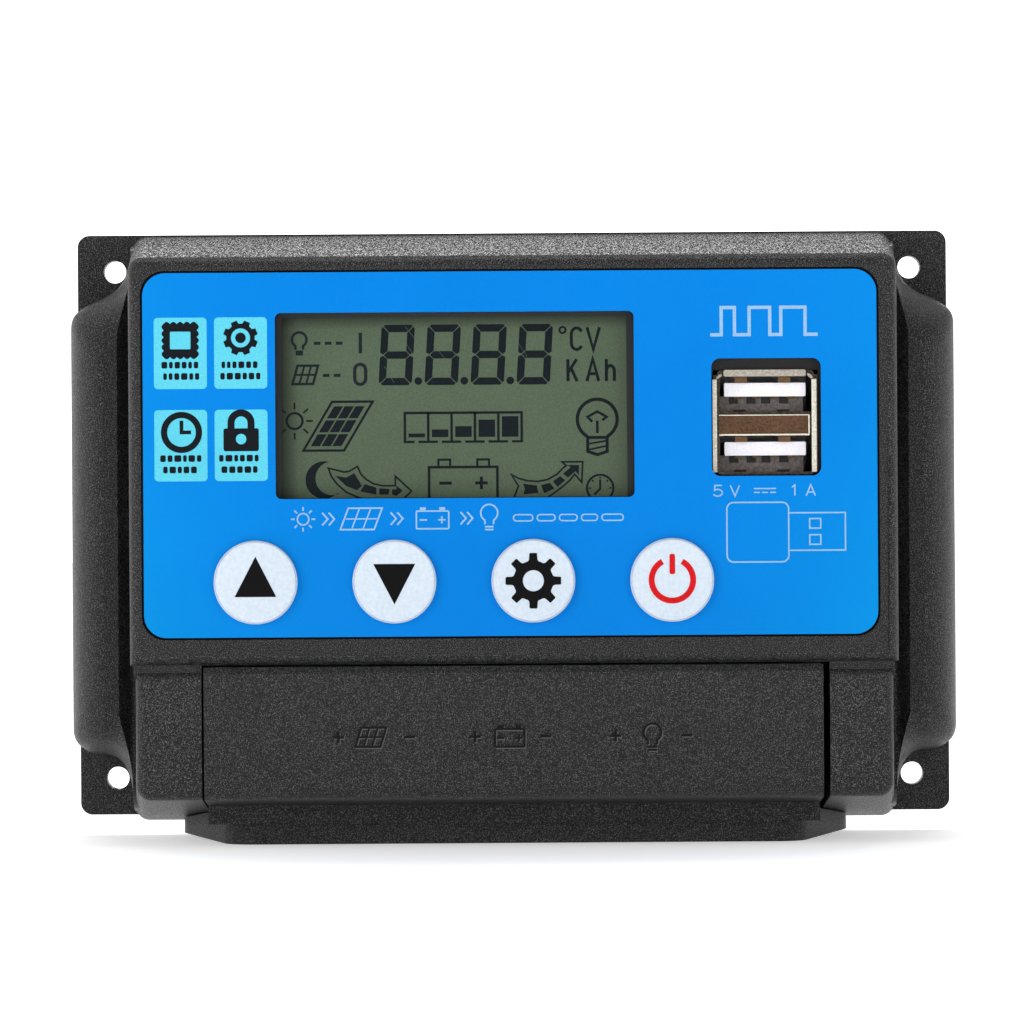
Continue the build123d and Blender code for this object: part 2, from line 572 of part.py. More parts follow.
# ---------------------------------------------------------------- USB outlet
def make_usb():
    """Stacked USB-A receptacle: metal shell, divider, insulator with two tongues, and contacts."""
    port_zs = [USB_Z + USB_PORT_PITCH / 2, USB_Z - USB_PORT_PITCH / 2]
    with BuildPart() as usb_shell:
        slab(MAIN_BOARD_FRONT, USB_MOUTH, USB_WIDTH, USB_HEIGHT, (USB_X, USB_Z), 0.5)
        slab(MAIN_BOARD_FRONT - 1, USB_MOUTH + 1, USB_WIDTH - 2 * USB_WALL, USB_HEIGHT - 2 * USB_WALL,
             (USB_X, USB_Z), 0.2, Mode.SUBTRACT)
        # flared lips at the two sides of the mouth
        for side in (-1, 1):
            with BuildSketch(Plane.XY.offset(USB_Z - USB_HEIGHT / 2 + 0.6)):
                lip_x = USB_X + side * USB_WIDTH / 2
                Polygon((lip_x - side * 0.1, -USB_MOUTH + 1.0), (lip_x + side * 0.1, -USB_MOUTH + 1.0),
                        (lip_x + side * 0.5, -USB_MOUTH), (lip_x - side * USB_WALL, -USB_MOUTH), align=None)
            extrude(amount=USB_HEIGHT - 1.2)
    save(usb_shell, "usb_shell")
    divider_half = USB_PORT_PITCH / 2 - USB_PORT_HEIGHT / 2
    with BuildPart() as usb_divider:
        slab(20.0, USB_MOUTH - 0.5, USB_PORT_WIDTH - 0.05, 2 * divider_half, (USB_X, USB_Z))
        slab(19.0, USB_MOUTH - 0.85, USB_PORT_WIDTH + 1, 2 * divider_half - 0.6, (USB_X, USB_Z),
             mode=Mode.SUBTRACT)
    save(usb_divider, "usb_divider")
    with BuildPart() as usb_insulator:
        slab(MAIN_BOARD_FRONT + 0.4, 19.8, USB_PORT_WIDTH - 0.1, USB_HEIGHT - 2 * USB_WALL - 0.1,
             (USB_X, USB_Z), 0.2)
        for z in port_zs:
            slab(19.8, USB_MOUTH - 0.9, 11.1, 1.84, (USB_X - 0.05, z + 0.45), 0.15)
    save(usb_insulator, "usb_insulator")
    with BuildPart() as usb_contacts:
        for z in port_zs:
            for k in (-1.5, -0.5, 0.5, 1.5):
                slab(19.9, USB_MOUTH - 1.4, 1.0, 0.3, (USB_X - 0.05 + k * 2.4, z + 0.45 - 0.92 - 0.15))
    save(usb_contacts, "usb_contacts")


# ---------------------------------------------------------------- screw terminals
def make_terminal_blocks():
    """Three two-pole terminal housings; each pole has a wire pocket and a screw well."""
    names = ["terminal_block_solar", "terminal_block_battery", "terminal_block_load"]
    height = BLOCK_TOP - BLOCK_BOTTOM
    middle_z = (BLOCK_TOP + BLOCK_BOTTOM) / 2
    for index, name in enumerate(names):
        poles = POLE_XS[2 * index:2 * index + 2]
        middle_x = sum(poles) / 2
        with BuildPart() as housing:
            slab(MAIN_BOARD_FRONT, BLOCK_FRONT, 2 * POLE_PITCH - 0.1, height, (middle_x, middle_z), 0.4)
            for x in poles:
                slab(15.0, 26.4, 7.2, 13.3, (x, BLOCK_BOTTOM - 0.5 + 13.3 / 2), mode=Mode.SUBTRACT)
                slab(MAIN_BOARD_FRONT - 1, 15.5, 4.8, 1.6, (x, BLOCK_TOP - 2.0), mode=Mode.SUBTRACT)
            wells = [(x, POLE_Z) for x in poles]
            rods(26.0, 27.0, SCREW_RADIUS + 0.3, wells, Mode.SUBTRACT)
            rods(27.0, 29.2, 3.15, wells, Mode.SUBTRACT)
            rods(29.0, BLOCK_FRONT + 1, 2.6, wells, Mode.SUBTRACT)
        save(housing, name)


def make_terminal_poles():
    """Clamp screw, rising cage and current bar of each pole."""
    middle = (CAGE_BACK + CAGE_FRONT) / 2
    for index, x in enumerate(POLE_XS):
        place = (x, POLE_Z)
        with BuildPart() as terminal_screw:
            rods(21.9, 27.1, SCREW_RADIUS, [place])
            rods(27.1, 28.9, 2.85, [place])
            head_edge = terminal_screw.faces().sort_by(Axis.Y)[0].edges()
            fillet(head_edge, 0.35)
            slab(27.9, 29.5, 0.8, 6.0, place, mode=Mode.SUBTRACT)
            slab(27.9, 29.5, 3.2, 0.8, place, mode=Mode.SUBTRACT)
        save(terminal_screw, f"terminal_screw_{index + 1}")
        with BuildPart() as clamp_cage:
            with BuildSketch(Plane.XY.offset(POLE_Z - 3.25)):
                with Locations((x, -middle)):
                    RectangleRounded(6.4, CAGE_FRONT - CAGE_BACK, 0.7)
                    RectangleRounded(6.4 - 2 * CAGE_WALL, CAGE_FRONT - CAGE_BACK - 2 * CAGE_WALL, 0.3,
                                     mode=Mode.SUBTRACT)
            extrude(amount=6.5)
            rods(20, CAGE_FRONT + 1, SCREW_RADIUS + 0.06, [place], Mode.SUBTRACT)
        save(clamp_cage, f"clamp_cage_{index + 1}")
    with BuildPart() as current_bars:
        for x in POLE_XS:
            slab(20.8, 21.8, 4.2, 11.4, (x, BLOCK_TOP - 7.2))
            slab(11.6, 20.8, 4.2, 1.0, (x, BLOCK_TOP - 2.0))
    save(current_bars, "current_bars")


# ---------------------------------------------------------------- fasteners
def make_screws():
    """Self-tapping screws: case from behind, main board and display board."""
    with BuildPart() as case_screws:
        rods(0.2, 1.4, 2.5, CASE_SCREW_PLACES)
        rods(1.4, 12.0, CASE_SCREW_RADIUS, CASE_SCREW_PLACES)
        for place in CASE_SCREW_PLACES:
            slab(0.1, 0.9, 0.7, 3.0, place, mode=Mode.SUBTRACT)
            slab(0.1, 0.9, 3.0, 0.7, place, mode=Mode.SUBTRACT)
    save(case_screws, "case_screws")
    with BuildPart() as main_board_screws:
        rods(MAIN_BOARD_FRONT, MAIN_BOARD_FRONT + 1.5, 2.3, STANDOFF_PLACES)
        rods(6.0, MAIN_BOARD_FRONT, SMALL_SCREW_RADIUS, STANDOFF_PLACES)
        for place in STANDOFF_PLACES:
            slab(MAIN_BOARD_FRONT + 0.8, MAIN_BOARD_FRONT + 2, 0.6, 2.8, place, mode=Mode.SUBTRACT)
            slab(MAIN_BOARD_FRONT + 0.8, MAIN_BOARD_FRONT + 2, 2.8, 0.6, place, mode=Mode.SUBTRACT)
    save(main_board_screws, "main_board_screws")
    with BuildPart() as display_board_screws:
        rods(DISPLAY_BOARD_BACK - 1.5, DISPLAY_BOARD_BACK, 2.2, DISPLAY_SCREW_PLACES)
        rods(DISPLAY_BOARD_BACK, 29.0, SMALL_SCREW_RADIUS, DISPLAY_SCREW_PLACES)
        for place in DISPLAY_SCREW_PLACES:
            slab(DISPLAY_BOARD_BACK - 2, DISPLAY_BOARD_BACK - 0.8, 0.6, 2.6, place, mode=Mode.SUBTRACT)
            slab(DISPLAY_BOARD_BACK - 2, DISPLAY_BOARD_BACK - 0.8, 2.6, 0.6, place, mode=Mode.SUBTRACT)
    save(display_board_screws, "display_board_screws")


make_rear_shell()
make_front_shell()
make_face_label()
make_terminal_cover()
make_main_board()
make_display_board()
make_lcd_stack()
make_board_header()
make_main_board_parts()
make_keys()
make_usb()
make_terminal_blocks()
make_terminal_poles()
make_screws()
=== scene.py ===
import json
import math
import random

import bmesh
import bpy
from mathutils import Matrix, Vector
from mathutils.geometry import tessellate_polygon


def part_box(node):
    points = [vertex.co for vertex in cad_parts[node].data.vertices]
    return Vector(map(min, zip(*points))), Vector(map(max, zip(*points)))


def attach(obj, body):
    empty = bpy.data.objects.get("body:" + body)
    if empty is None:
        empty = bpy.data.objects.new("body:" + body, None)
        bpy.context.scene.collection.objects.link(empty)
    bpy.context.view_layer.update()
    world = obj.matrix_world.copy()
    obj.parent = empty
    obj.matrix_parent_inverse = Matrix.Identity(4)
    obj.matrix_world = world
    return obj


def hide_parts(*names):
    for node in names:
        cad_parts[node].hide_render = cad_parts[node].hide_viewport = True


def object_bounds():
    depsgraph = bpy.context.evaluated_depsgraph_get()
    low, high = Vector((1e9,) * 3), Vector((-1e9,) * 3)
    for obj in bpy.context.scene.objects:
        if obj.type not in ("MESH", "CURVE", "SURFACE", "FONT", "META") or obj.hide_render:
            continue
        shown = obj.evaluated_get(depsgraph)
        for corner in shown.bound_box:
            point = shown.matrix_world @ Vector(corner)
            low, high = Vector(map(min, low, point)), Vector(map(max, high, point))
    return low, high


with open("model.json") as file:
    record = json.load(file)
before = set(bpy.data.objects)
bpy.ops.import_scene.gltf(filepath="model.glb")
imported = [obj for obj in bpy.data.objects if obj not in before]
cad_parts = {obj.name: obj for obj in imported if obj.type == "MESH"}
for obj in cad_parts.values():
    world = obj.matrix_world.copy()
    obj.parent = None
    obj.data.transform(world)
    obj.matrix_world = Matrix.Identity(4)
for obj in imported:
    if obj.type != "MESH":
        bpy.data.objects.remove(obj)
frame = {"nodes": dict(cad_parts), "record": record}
cad_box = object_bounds()

MM = 0.001
scene = bpy.context.scene


# ------------------------------------------------------------------ materials
def srgb(red, green, blue):
    """Linear colour from display values of 0 to 255."""
    def linear(value):
        value /= 255
        return value / 12.92 if value <= 0.04045 else ((value + 0.055) / 1.055) ** 2.4
    return (linear(red), linear(green), linear(blue), 1.0)


class Tree:
    """A node tree with short ways to add what the finishes and the world here need."""

    def __init__(self, tree):
        self.tree = tree

    def add(self, kind, **values):
        node = self.tree.nodes.new(kind)
        for key, value in values.items():
            setattr(node, key, value)
        return node

    def link(self, source, target):
        self.tree.links.new(source, target)

    def feed(self, socket, value):
        """Set a socket to a number or colour, or link it to another node's output."""
        if isinstance(value, (int, float, tuple)):
            socket.default_value = value
        else:
            self.link(value, socket)

    def axes(self, source):
        """The X, Y and Z outputs of a vector."""
        node = self.add("ShaderNodeSeparateXYZ")
        self.link(source, node.inputs["Vector"])
        return node.outputs

    def spread(self, source, low, high, start=0.3, end=0.7):
        """source from start to end becomes low to high."""
        node = self.add("ShaderNodeMapRange")
        for key, value in (("From Min", start), ("From Max", end), ("To Min", low), ("To Max", high)):
            node.inputs[key].default_value = value
        self.link(source, node.inputs["Value"])
        return node.outputs["Result"]

    def math(self, operation, first, second=0.0):
        node = self.add("ShaderNodeMath", operation=operation)
        for socket, value in zip(node.inputs, (first, second)):
            self.feed(socket, value)
        return node.outputs["Value"]


class Nodes(Tree):
    """A material's node tree, around one Principled shader; patterns are in object coordinates."""

    def __init__(self, name):
        self.material = bpy.data.materials.new(name)
        self.material.use_nodes = True
        super().__init__(self.material.node_tree)
        self.tree.nodes.clear()
        self.shader = self.add("ShaderNodeBsdfPrincipled")
        output = self.add("ShaderNodeOutputMaterial")
        self.link(self.shader.outputs["BSDF"], output.inputs["Surface"])
        coordinates = self.add("ShaderNodeTexCoord")
        self.place = coordinates.outputs["Object"]
        self.facing = coordinates.outputs["Normal"]

    def mapped(self, stretch):
        node = self.add("ShaderNodeMapping")
        node.inputs["Scale"].default_value = stretch
        self.link(self.place, node.inputs["Vector"])
        return node.outputs["Vector"]

    def noise(self, size, detail=2.0, stretch=None):
        """Noise with features of about size mm."""
        node = self.add("ShaderNodeTexNoise")
        node.inputs["Scale"].default_value = 1 / (size * MM)
        node.inputs["Detail"].default_value = detail
        self.link(self.mapped(stretch) if stretch else self.place, node.inputs["Vector"])
        return node.outputs["Fac"]

    def ramp(self, source, *stops):
        """Colour ramp; each stop is (position, colour)."""
        node = self.add("ShaderNodeValToRGB")
        while len(node.color_ramp.elements) < len(stops):
            node.color_ramp.elements.new(0.5)
        for element, (position, colour) in zip(node.color_ramp.elements, stops):
            element.position = position
            element.color = colour
        self.link(source, node.inputs["Fac"])
        return node.outputs["Color"]

    def mix(self, factor, first, second, blend="MIX"):
        node = self.add("ShaderNodeMix", data_type="RGBA", blend_type=blend)
        sockets = [s for s in node.inputs if s.enabled]
        for socket, value in zip(sockets, (factor, first, second)):
            self.feed(socket, value)
        return next(s for s in node.outputs if s.enabled)

    def shaded(self, colour, *shades):
        """colour multiplied by each shade in turn."""
        for shade in shades:
            colour = self.mix(1.0, colour, shade, "MULTIPLY")
        return colour

    def bump(self, height, strength, relief):
        """relief is the full height of the texture in mm."""
        node = self.add("ShaderNodeBump")
        node.inputs["Strength"].default_value = strength
        node.inputs["Distance"].default_value = relief * MM
        self.link(height, node.inputs["Height"])
        return node.outputs["Normal"]

    def finish(self, colour, roughness, normal, **fixed):
        """Link the three that vary over the surface, and set the others on the shader's own sockets."""
        self.link(colour, self.shader.inputs["Base Color"])
        self.link(roughness, self.shader.inputs["Roughness"])
        self.link(normal, self.shader.inputs["Normal"])
        for key, value in fixed.items():
            self.shader.inputs[key.replace("_", " ")].default_value = value
        return self.material


def grey(value):
    return (value, value, value, 1)


WHITE = grey(1)


def surface(name, dark, light, grain=0.3, rough=(0.4, 0.6), strength=0.3, relief=0.02, stretch=None,
            blotch=0.12, **fixed):
    """General finish: two tones in a grain of this size (mm), broad blotches, and relief to match."""
    n = Nodes(name)
    fine = n.noise(grain, 3.0, stretch)
    broad = n.noise(grain * 30, 2.0)
    tone = n.ramp(fine, (0.35, dark), (0.65, light))
    cloud = n.ramp(broad, (0.3, grey(1 - blotch)), (0.7, WHITE))
    return n.finish(n.shaded(tone, cloud), n.spread(fine, *rough), n.bump(fine, strength, relief), **fixed)


def textured_plastic(name, base, painted_glint):
    """Black moulding with a spark-eroded grain: the facets' glints are painted as small bright dots over a
    matt ground.

    Faces that look up show the grain drawn out along their draft, so their roughness varies more.
    """
    n = Nodes(name)
    grain = n.noise(0.2, 1.0)
    facets = n.noise(0.11, 0.5)
    broad = n.noise(9.0, 3.0)
    ground = n.ramp(grain, (0.4, tuple(c * 0.2 for c in base[:3]) + (1,)), (0.62, base))
    # painted glints: the brightest facets take the light glint colour
    painted_glint_mask = n.ramp(facets, (0.58, grey(0)), (0.66, WHITE))
    cloud = n.ramp(broad, (0.3, grey(0.86)), (0.7, WHITE))
    upward = n.spread(n.axes(n.facing)["Z"], 0.0, 1.0, 0.75, 0.95)
    drawn = n.spread(n.noise(0.24, 1.0, (1, 0.12, 1)), -0.24, 0.3, 0.38, 0.62)
    rough = n.math("ADD", n.spread(facets, 0.44, 0.3, 0.4, 0.6), n.math("MULTIPLY", drawn, upward))
    height = n.math("ADD", grain, facets)
    return n.finish(n.shaded(n.mix(painted_glint_mask, ground, painted_glint), cloud), rough, n.bump(height, 1.0, 0.12),
                    Specular_IOR_Level=0.3)


def label_film():
    """Blue printed overlay, a little greener and lighter towards the side edges and the lower corners."""
    n = Nodes("label_film")
    low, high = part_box("face_label")
    centre, half = (low + high) / 2, (high - low) / 2
    at = n.axes(n.place)
    across = n.math("ABSOLUTE", n.math("DIVIDE", n.math("SUBTRACT", at["X"], centre.x), half.x))
    down = n.math("DIVIDE", n.math("SUBTRACT", centre.z, at["Z"]), half.z)
    edge = n.math("POWER", across, 5.0)
    corner = n.math("MULTIPLY", n.math("POWER", across, 2.0), n.spread(down, 0.0, 0.5, -0.2, 1.0))
    factor = n.math("MULTIPLY", n.math("ADD", n.math("MULTIPLY", edge, 0.35), corner), 0.7)
    blue = n.mix(factor, srgb(0, 122, 210), srgb(0, 146, 214))
    fleck = n.noise(0.22, 2.0)
    broad = n.noise(14.0, 2.0)
    tone = n.ramp(fleck, (0.3, grey(0.95)), (0.7, WHITE))
    wash = n.ramp(broad, (0.3, grey(0.97)), (0.7, WHITE))
    return n.finish(n.shaded(blue, tone, wash), n.spread(broad, 0.4, 0.5), n.bump(fleck, 0.25, 0.01),
                    Specular_IOR_Level=0.06)


def lcd_face():
    """Grey-green reflective display: a fine reflector grain, with painted shadow of the window's left and
    top edges darkening it near them.
    """
    n = Nodes("lcd_face")
    grain = n.noise(0.13, 2.0)
    broad = n.noise(8.0, 2.0)
    low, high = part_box("lcd_glass")
    at = n.axes(n.place)
    # painted shadow, darkest at the window's left and top edges
    side = n.spread(at["X"], 0.3, 1.0, low.x + 3.3 * MM, low.x + 5.6 * MM)
    top = n.spread(at["Z"], 1.0, 0.35, high.z - 3.4 * MM, high.z - 1.7 * MM)
    shade = n.add("ShaderNodeCombineColor")
    for socket in shade.inputs[:3]:
        n.link(n.math("MULTIPLY", side, top), socket)
    ground = n.ramp(grain, (0.3, srgb(70, 84, 66)), (0.7, srgb(84, 98, 78)))
    wash = n.ramp(broad, (0.3, (0.92, 0.94, 0.92, 1)), (0.7, WHITE))
    return n.finish(n.shaded(ground, shade.outputs["Color"], wash), n.spread(grain, 0.35, 0.5),
                    n.bump(grain, 0.2, 0.008), Specular_IOR_Level=0.2)


def board_finish():
    """Green solder mask over a weave of tracks."""
    n = Nodes("board_laminate")
    tracks = n.add("ShaderNodeTexBrick")
    for key, value in (("Scale", 60), ("Mortar Size", 0.03), ("Color1", srgb(14, 74, 40)),
                       ("Color2", srgb(18, 86, 48)), ("Mortar", srgb(30, 116, 62))):
        tracks.inputs[key].default_value = value
    n.link(n.place, tracks.inputs["Vector"])
    grain = n.noise(0.5, 2.0)
    return n.finish(tracks.outputs["Color"], n.spread(grain, 0.28, 0.42), n.bump(grain, 0.2, 0.02))


WAVE_LAYERS = 6.3  # about how many layers the wave texture has to a unit


def stripes(name, first, second, pitch, rough):
    """Alternating layers across X, pitch mm apart, such as a zebra connector's."""
    n = Nodes(name)
    wave = n.add("ShaderNodeTexWave", bands_direction="X")
    wave.inputs["Scale"].default_value = 1 / (pitch * MM) / WAVE_LAYERS
    n.link(n.place, wave.inputs["Vector"])
    grain = n.noise(0.3, 2.0)
    return n.finish(n.ramp(wave.outputs["Fac"], (0.4, first), (0.6, second)), n.spread(grain, *rough),
                    n.bump(grain, 0.2, 0.02))


FINISHES = {
    # The third colour of each moulding is its painted glint.
    "case_plastic": textured_plastic("case_plastic", srgb(5, 5, 6), srgb(95, 95, 95)),
    "cover_plastic": textured_plastic("cover_plastic", srgb(7, 7, 8), srgb(90, 90, 90)),
    "label_print": label_film(),
    "lcd_glass": lcd_face(),
    "frame_plastic": surface("frame_plastic", srgb(16, 22, 26), srgb(24, 32, 36), grain=0.4),
    "backlight_plastic": surface("backlight_plastic", srgb(214, 220, 214), srgb(232, 236, 230), grain=0.6,
                                 rough=(0.25, 0.4)),
    "zebra_rubber": stripes("zebra_rubber", srgb(20, 20, 20), srgb(150, 150, 145), 0.18, (0.6, 0.75)),
    "board_laminate": board_finish(),
    "key_plastic": surface("key_plastic", srgb(196, 208, 220), srgb(206, 217, 228), grain=0.5,
                           rough=(0.34, 0.44), strength=0.12, relief=0.01, blotch=0.03,
                           Subsurface_Weight=0.1, Subsurface_Scale=0.001, Specular_IOR_Level=0.25),
    "switch_plastic": surface("switch_plastic", srgb(28, 28, 30), srgb(40, 40, 42)),
    "usb_metal": surface("usb_metal", srgb(70, 62, 54), srgb(104, 94, 84), grain=0.12, rough=(0.2, 0.34),
                         strength=0.15, relief=0.01, stretch=(0.15, 1, 1), blotch=0.15, Metallic=1.0),
    "usb_plastic": surface("usb_plastic", srgb(232, 230, 238), srgb(242, 240, 246), rough=(0.3, 0.42),
                           strength=0.15, relief=0.01, blotch=0.04),
    "contact_metal": surface("contact_metal", srgb(92, 74, 46), srgb(122, 100, 66), grain=0.1,
                             rough=(0.2, 0.32), strength=0.15, relief=0.01, blotch=0.1, Metallic=1.0),
    "terminal_plastic": surface("terminal_plastic", srgb(26, 92, 56), srgb(34, 108, 66), grain=0.35,
                                rough=(0.38, 0.5), strength=0.25, relief=0.03),
    "terminal_metal": surface("terminal_metal", srgb(168, 168, 166), srgb(204, 204, 200), grain=0.2,
                              rough=(0.24, 0.38), strength=0.2, relief=0.01, stretch=(1, 0.2, 1),
                              blotch=0.15, Metallic=1.0),
    "bar_metal": surface("bar_metal", srgb(196, 138, 96), srgb(214, 160, 118), grain=0.2, rough=(0.26, 0.4),
                         strength=0.2, relief=0.01, blotch=0.2, Metallic=1.0),
    "epoxy_black": surface("epoxy_black", srgb(22, 22, 24), srgb(34, 34, 36), grain=0.15, rough=(0.5, 0.65),
                           relief=0.015),
    "lead_metal": surface("lead_metal", srgb(186, 186, 184), srgb(214, 214, 210), grain=0.2,
                          rough=(0.25, 0.4), strength=0.15, relief=0.01, blotch=0.1, Metallic=1.0),
    "spreader_metal": surface("spreader_metal", srgb(176, 178, 180), srgb(206, 208, 210), grain=0.25,
                              rough=(0.3, 0.45), stretch=(0.1, 1, 1), Metallic=1.0),
    "pad_rubber": surface("pad_rubber", srgb(140, 146, 160), srgb(160, 166, 178), grain=0.4,
                          rough=(0.7, 0.85)),
    "capacitor_sleeve": surface("capacitor_sleeve", srgb(24, 28, 44), srgb(34, 38, 58), grain=0.5,
                                rough=(0.25, 0.35)),
    "ferrite": surface("ferrite", srgb(44, 42, 42), srgb(64, 62, 60), rough=(0.6, 0.75), strength=0.4,
                       relief=0.04),
    "shunt_metal": surface("shunt_metal", srgb(150, 130, 112), srgb(176, 156, 136), grain=0.2,
                           rough=(0.3, 0.45), strength=0.2, relief=0.01, blotch=0.15, Metallic=1.0),
    "fastener_metal": surface("fastener_metal", srgb(120, 120, 124), srgb(160, 160, 164), grain=0.15,
                              rough=(0.26, 0.4), strength=0.2, relief=0.01, blotch=0.2, Metallic=1.0),
}

PRINT_WHITE = surface("print_white", srgb(138, 174, 208), srgb(150, 186, 216), grain=0.2, rough=(0.4, 0.5),
                      strength=0.2, relief=0.008, Specular_IOR_Level=0.12)
TILE_BLUE = surface("tile_blue", srgb(82, 188, 212), srgb(94, 200, 220), grain=0.25, rough=(0.36, 0.46),
                    strength=0.2, relief=0.008, blotch=0.05, Specular_IOR_Level=0.12)
TILE_INK = surface("tile_ink", srgb(6, 10, 16), srgb(14, 20, 28), grain=0.2, rough=(0.4, 0.5), strength=0.2,
                   relief=0.008, Specular_IOR_Level=0.12)
KEY_BLACK = surface("key_black", srgb(4, 4, 6), srgb(10, 10, 12), grain=0.15, rough=(0.4, 0.5),
                    strength=0.25, relief=0.01, Specular_IOR_Level=0.1)
KEY_RED = surface("key_red", srgb(198, 16, 24), srgb(214, 26, 32), grain=0.2, rough=(0.35, 0.5),
                  strength=0.2, relief=0.01, Specular_IOR_Level=0.1)
LCD_INK = surface("lcd_ink", srgb(5, 13, 18), srgb(14, 26, 31), grain=0.12, rough=(0.3, 0.42),
                  strength=0.15, relief=0.006, Specular_IOR_Level=0.15)
LCD_FAINT = surface("lcd_faint_ink", srgb(14, 24, 28), srgb(24, 36, 40), grain=0.12, rough=(0.3, 0.42),
                    strength=0.15, relief=0.006, Specular_IOR_Level=0.15)
USB_WEB = surface("usb_web_metal", srgb(88, 62, 44), srgb(124, 94, 70), grain=0.15, rough=(0.3, 0.5),
                  strength=0.2, relief=0.01, blotch=0.3, Metallic=0.8)
USB_SPRING = surface("usb_spring_metal", srgb(96, 72, 50), srgb(130, 100, 72), grain=0.15,
                     rough=(0.35, 0.5), strength=0.2, relief=0.01, blotch=0.2, Metallic=0.8)
# near white: painted highlight on the outlet's metal edges
USB_HIGHLIGHT = surface("usb_painted_highlight", srgb(206, 198, 178), srgb(244, 240, 226), grain=0.2,
                     rough=(0.25, 0.4), strength=0.15, relief=0.01)
USB_LIP = surface("usb_lip_metal", srgb(140, 132, 122), srgb(184, 176, 164), rough=(0.3, 0.45),
                  strength=0.2, relief=0.01)
# tan grey: painted shade deep inside the ports
USB_PORT_SHADE = surface("usb_port_floor_shade", srgb(86, 76, 74), srgb(122, 112, 108), grain=0.4, rough=(0.35, 0.5),
                    strength=0.2, relief=0.01)
# near black: painted shade in the outlet's holes and gaps
USB_SHADE = surface("usb_slot_shade", srgb(8, 7, 7), srgb(20, 17, 16), grain=0.2, rough=(0.5, 0.7))
# the signs' darker tone is painted shade of their relief
SIGN_SHADE = surface("cover_sign", srgb(4, 4, 5), srgb(16, 16, 17), grain=0.2, rough=(0.5, 0.6),
                     Specular_IOR_Level=0.15)
# lighter copy of the signs: painted highlight on their edges
SIGN_HIGHLIGHT = surface("cover_sign_painted_highlight", srgb(62, 62, 63), srgb(84, 84, 85), grain=0.2, rough=(0.34, 0.44))
# near-black painted shadow for the label's recess edge
LABEL_EDGE_SHADOW = surface("label_edge_painted_shadow", srgb(2, 2, 3), srgb(6, 6, 8), grain=0.2, rough=(0.6, 0.7),
                       strength=0.2, relief=0.01, Specular_IOR_Level=0.05)
# bluish grey: painted shade along the keys' chamfered edges
KEY_EDGE_SHADE = surface("key_edge_shade", srgb(150, 164, 194), srgb(168, 180, 206), grain=0.2, rough=(0.4, 0.5),
                   strength=0.2, relief=0.01, Specular_IOR_Level=0.1)
LCD_HAIRLINE = surface("lcd_hairline", srgb(70, 84, 72), srgb(92, 106, 92), rough=(0.3, 0.42),
                       strength=0.15, relief=0.006)
LCD_RIM = surface("lcd_rim_plastic", srgb(8, 16, 20), srgb(16, 26, 32))

for entry in frame["record"]["subparts"]:
    materials = frame["nodes"][entry["node"]].data.materials
    materials.clear()
    materials.append(FINISHES[entry["material_slot"]])


# ------------------------------------------------------------------ flat shapes, in mm as (x, z)
def arc(centre, radius, start, end, steps=24):
    return [(centre[0] + radius * math.cos(math.radians(start + (end - start) * i / steps)),
             centre[1] + radius * math.sin(math.radians(start + (end - start) * i / steps)))
            for i in range(steps + 1)]


def ring(centre, radius, steps=48):
    return arc(centre, radius, 0, 360, steps)[:-1]


def rounded(centre, width, height, corner=0.0, steps=6):
    """Rectangle with rounded corners."""
    x, z = width / 2 - corner, height / 2 - corner
    if corner <= 0:
        return [(centre[0] + a * width / 2, centre[1] + b * height / 2)
                for a, b in ((1, 1), (-1, 1), (-1, -1), (1, -1))]
    loop = []
    for a, b, start in ((1, 1, 0), (-1, 1, 90), (-1, -1, 180), (1, -1, 270)):
        loop += arc((centre[0] + a * x, centre[1] + b * z), corner, start, start + 90, steps)
    return loop


def stroke(points, width, closed=False):
    """Loops of a line of that width along the points: one loop, or two if it is closed."""
    points = [Vector(p) for p in points]
    count = len(points)
    left, right = [], []
    for i, point in enumerate(points):
        before = points[i - 1] if closed or i > 0 else None
        after = points[(i + 1) % count] if closed or i < count - 1 else None
        first = (point - before).normalized() if before is not None else (after - point).normalized()
        second = (after - point).normalized() if after is not None else first
        normal = Vector((-first.y - second.y, first.x + second.x))
        normal.normalize()
        reach = width / 2 / max(0.35, normal.dot(Vector((-first.y, first.x))))
        left.append(tuple(point + normal * reach))
        right.append(tuple(point - normal * reach))
    if closed:
        return [left, right]
    return [left + right[::-1]]


def bar(start, end, width):
    return stroke([start, end], width)


def shifted(shape, dx, dz, size=1.0):
    return [[(x * size + dx, z * size + dz) for x, z in loop] for loop in shape]


def area(loop):
    return sum(a[0] * b[1] - b[0] * a[1] for a, b in zip(loop, loop[1:] + loop[:1])) / 2


# ------------------------------------------------------------------ pieces
SUNK = 0.05  # mm that print reaches below the face it is on
LIFT = 0.0012  # mm by which an inlay's next solid is thicker, so crossing strokes never share a plane
LIFTS = 8  # after so many solids the thickness starts again
SHARP = math.radians(28)  # edges of a turned piece stay sharp above this angle


def place(mesh, name, material, body):
    piece = bpy.data.objects.new(name, mesh)
    mesh.materials.append(material)
    scene.collection.objects.link(piece)
    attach(piece, body)
    return piece


def mesh_of(bm, name):
    bmesh.ops.recalc_face_normals(bm, faces=bm.faces)
    mesh = bpy.data.meshes.new(name)
    bm.to_mesh(mesh)
    bm.free()
    return mesh


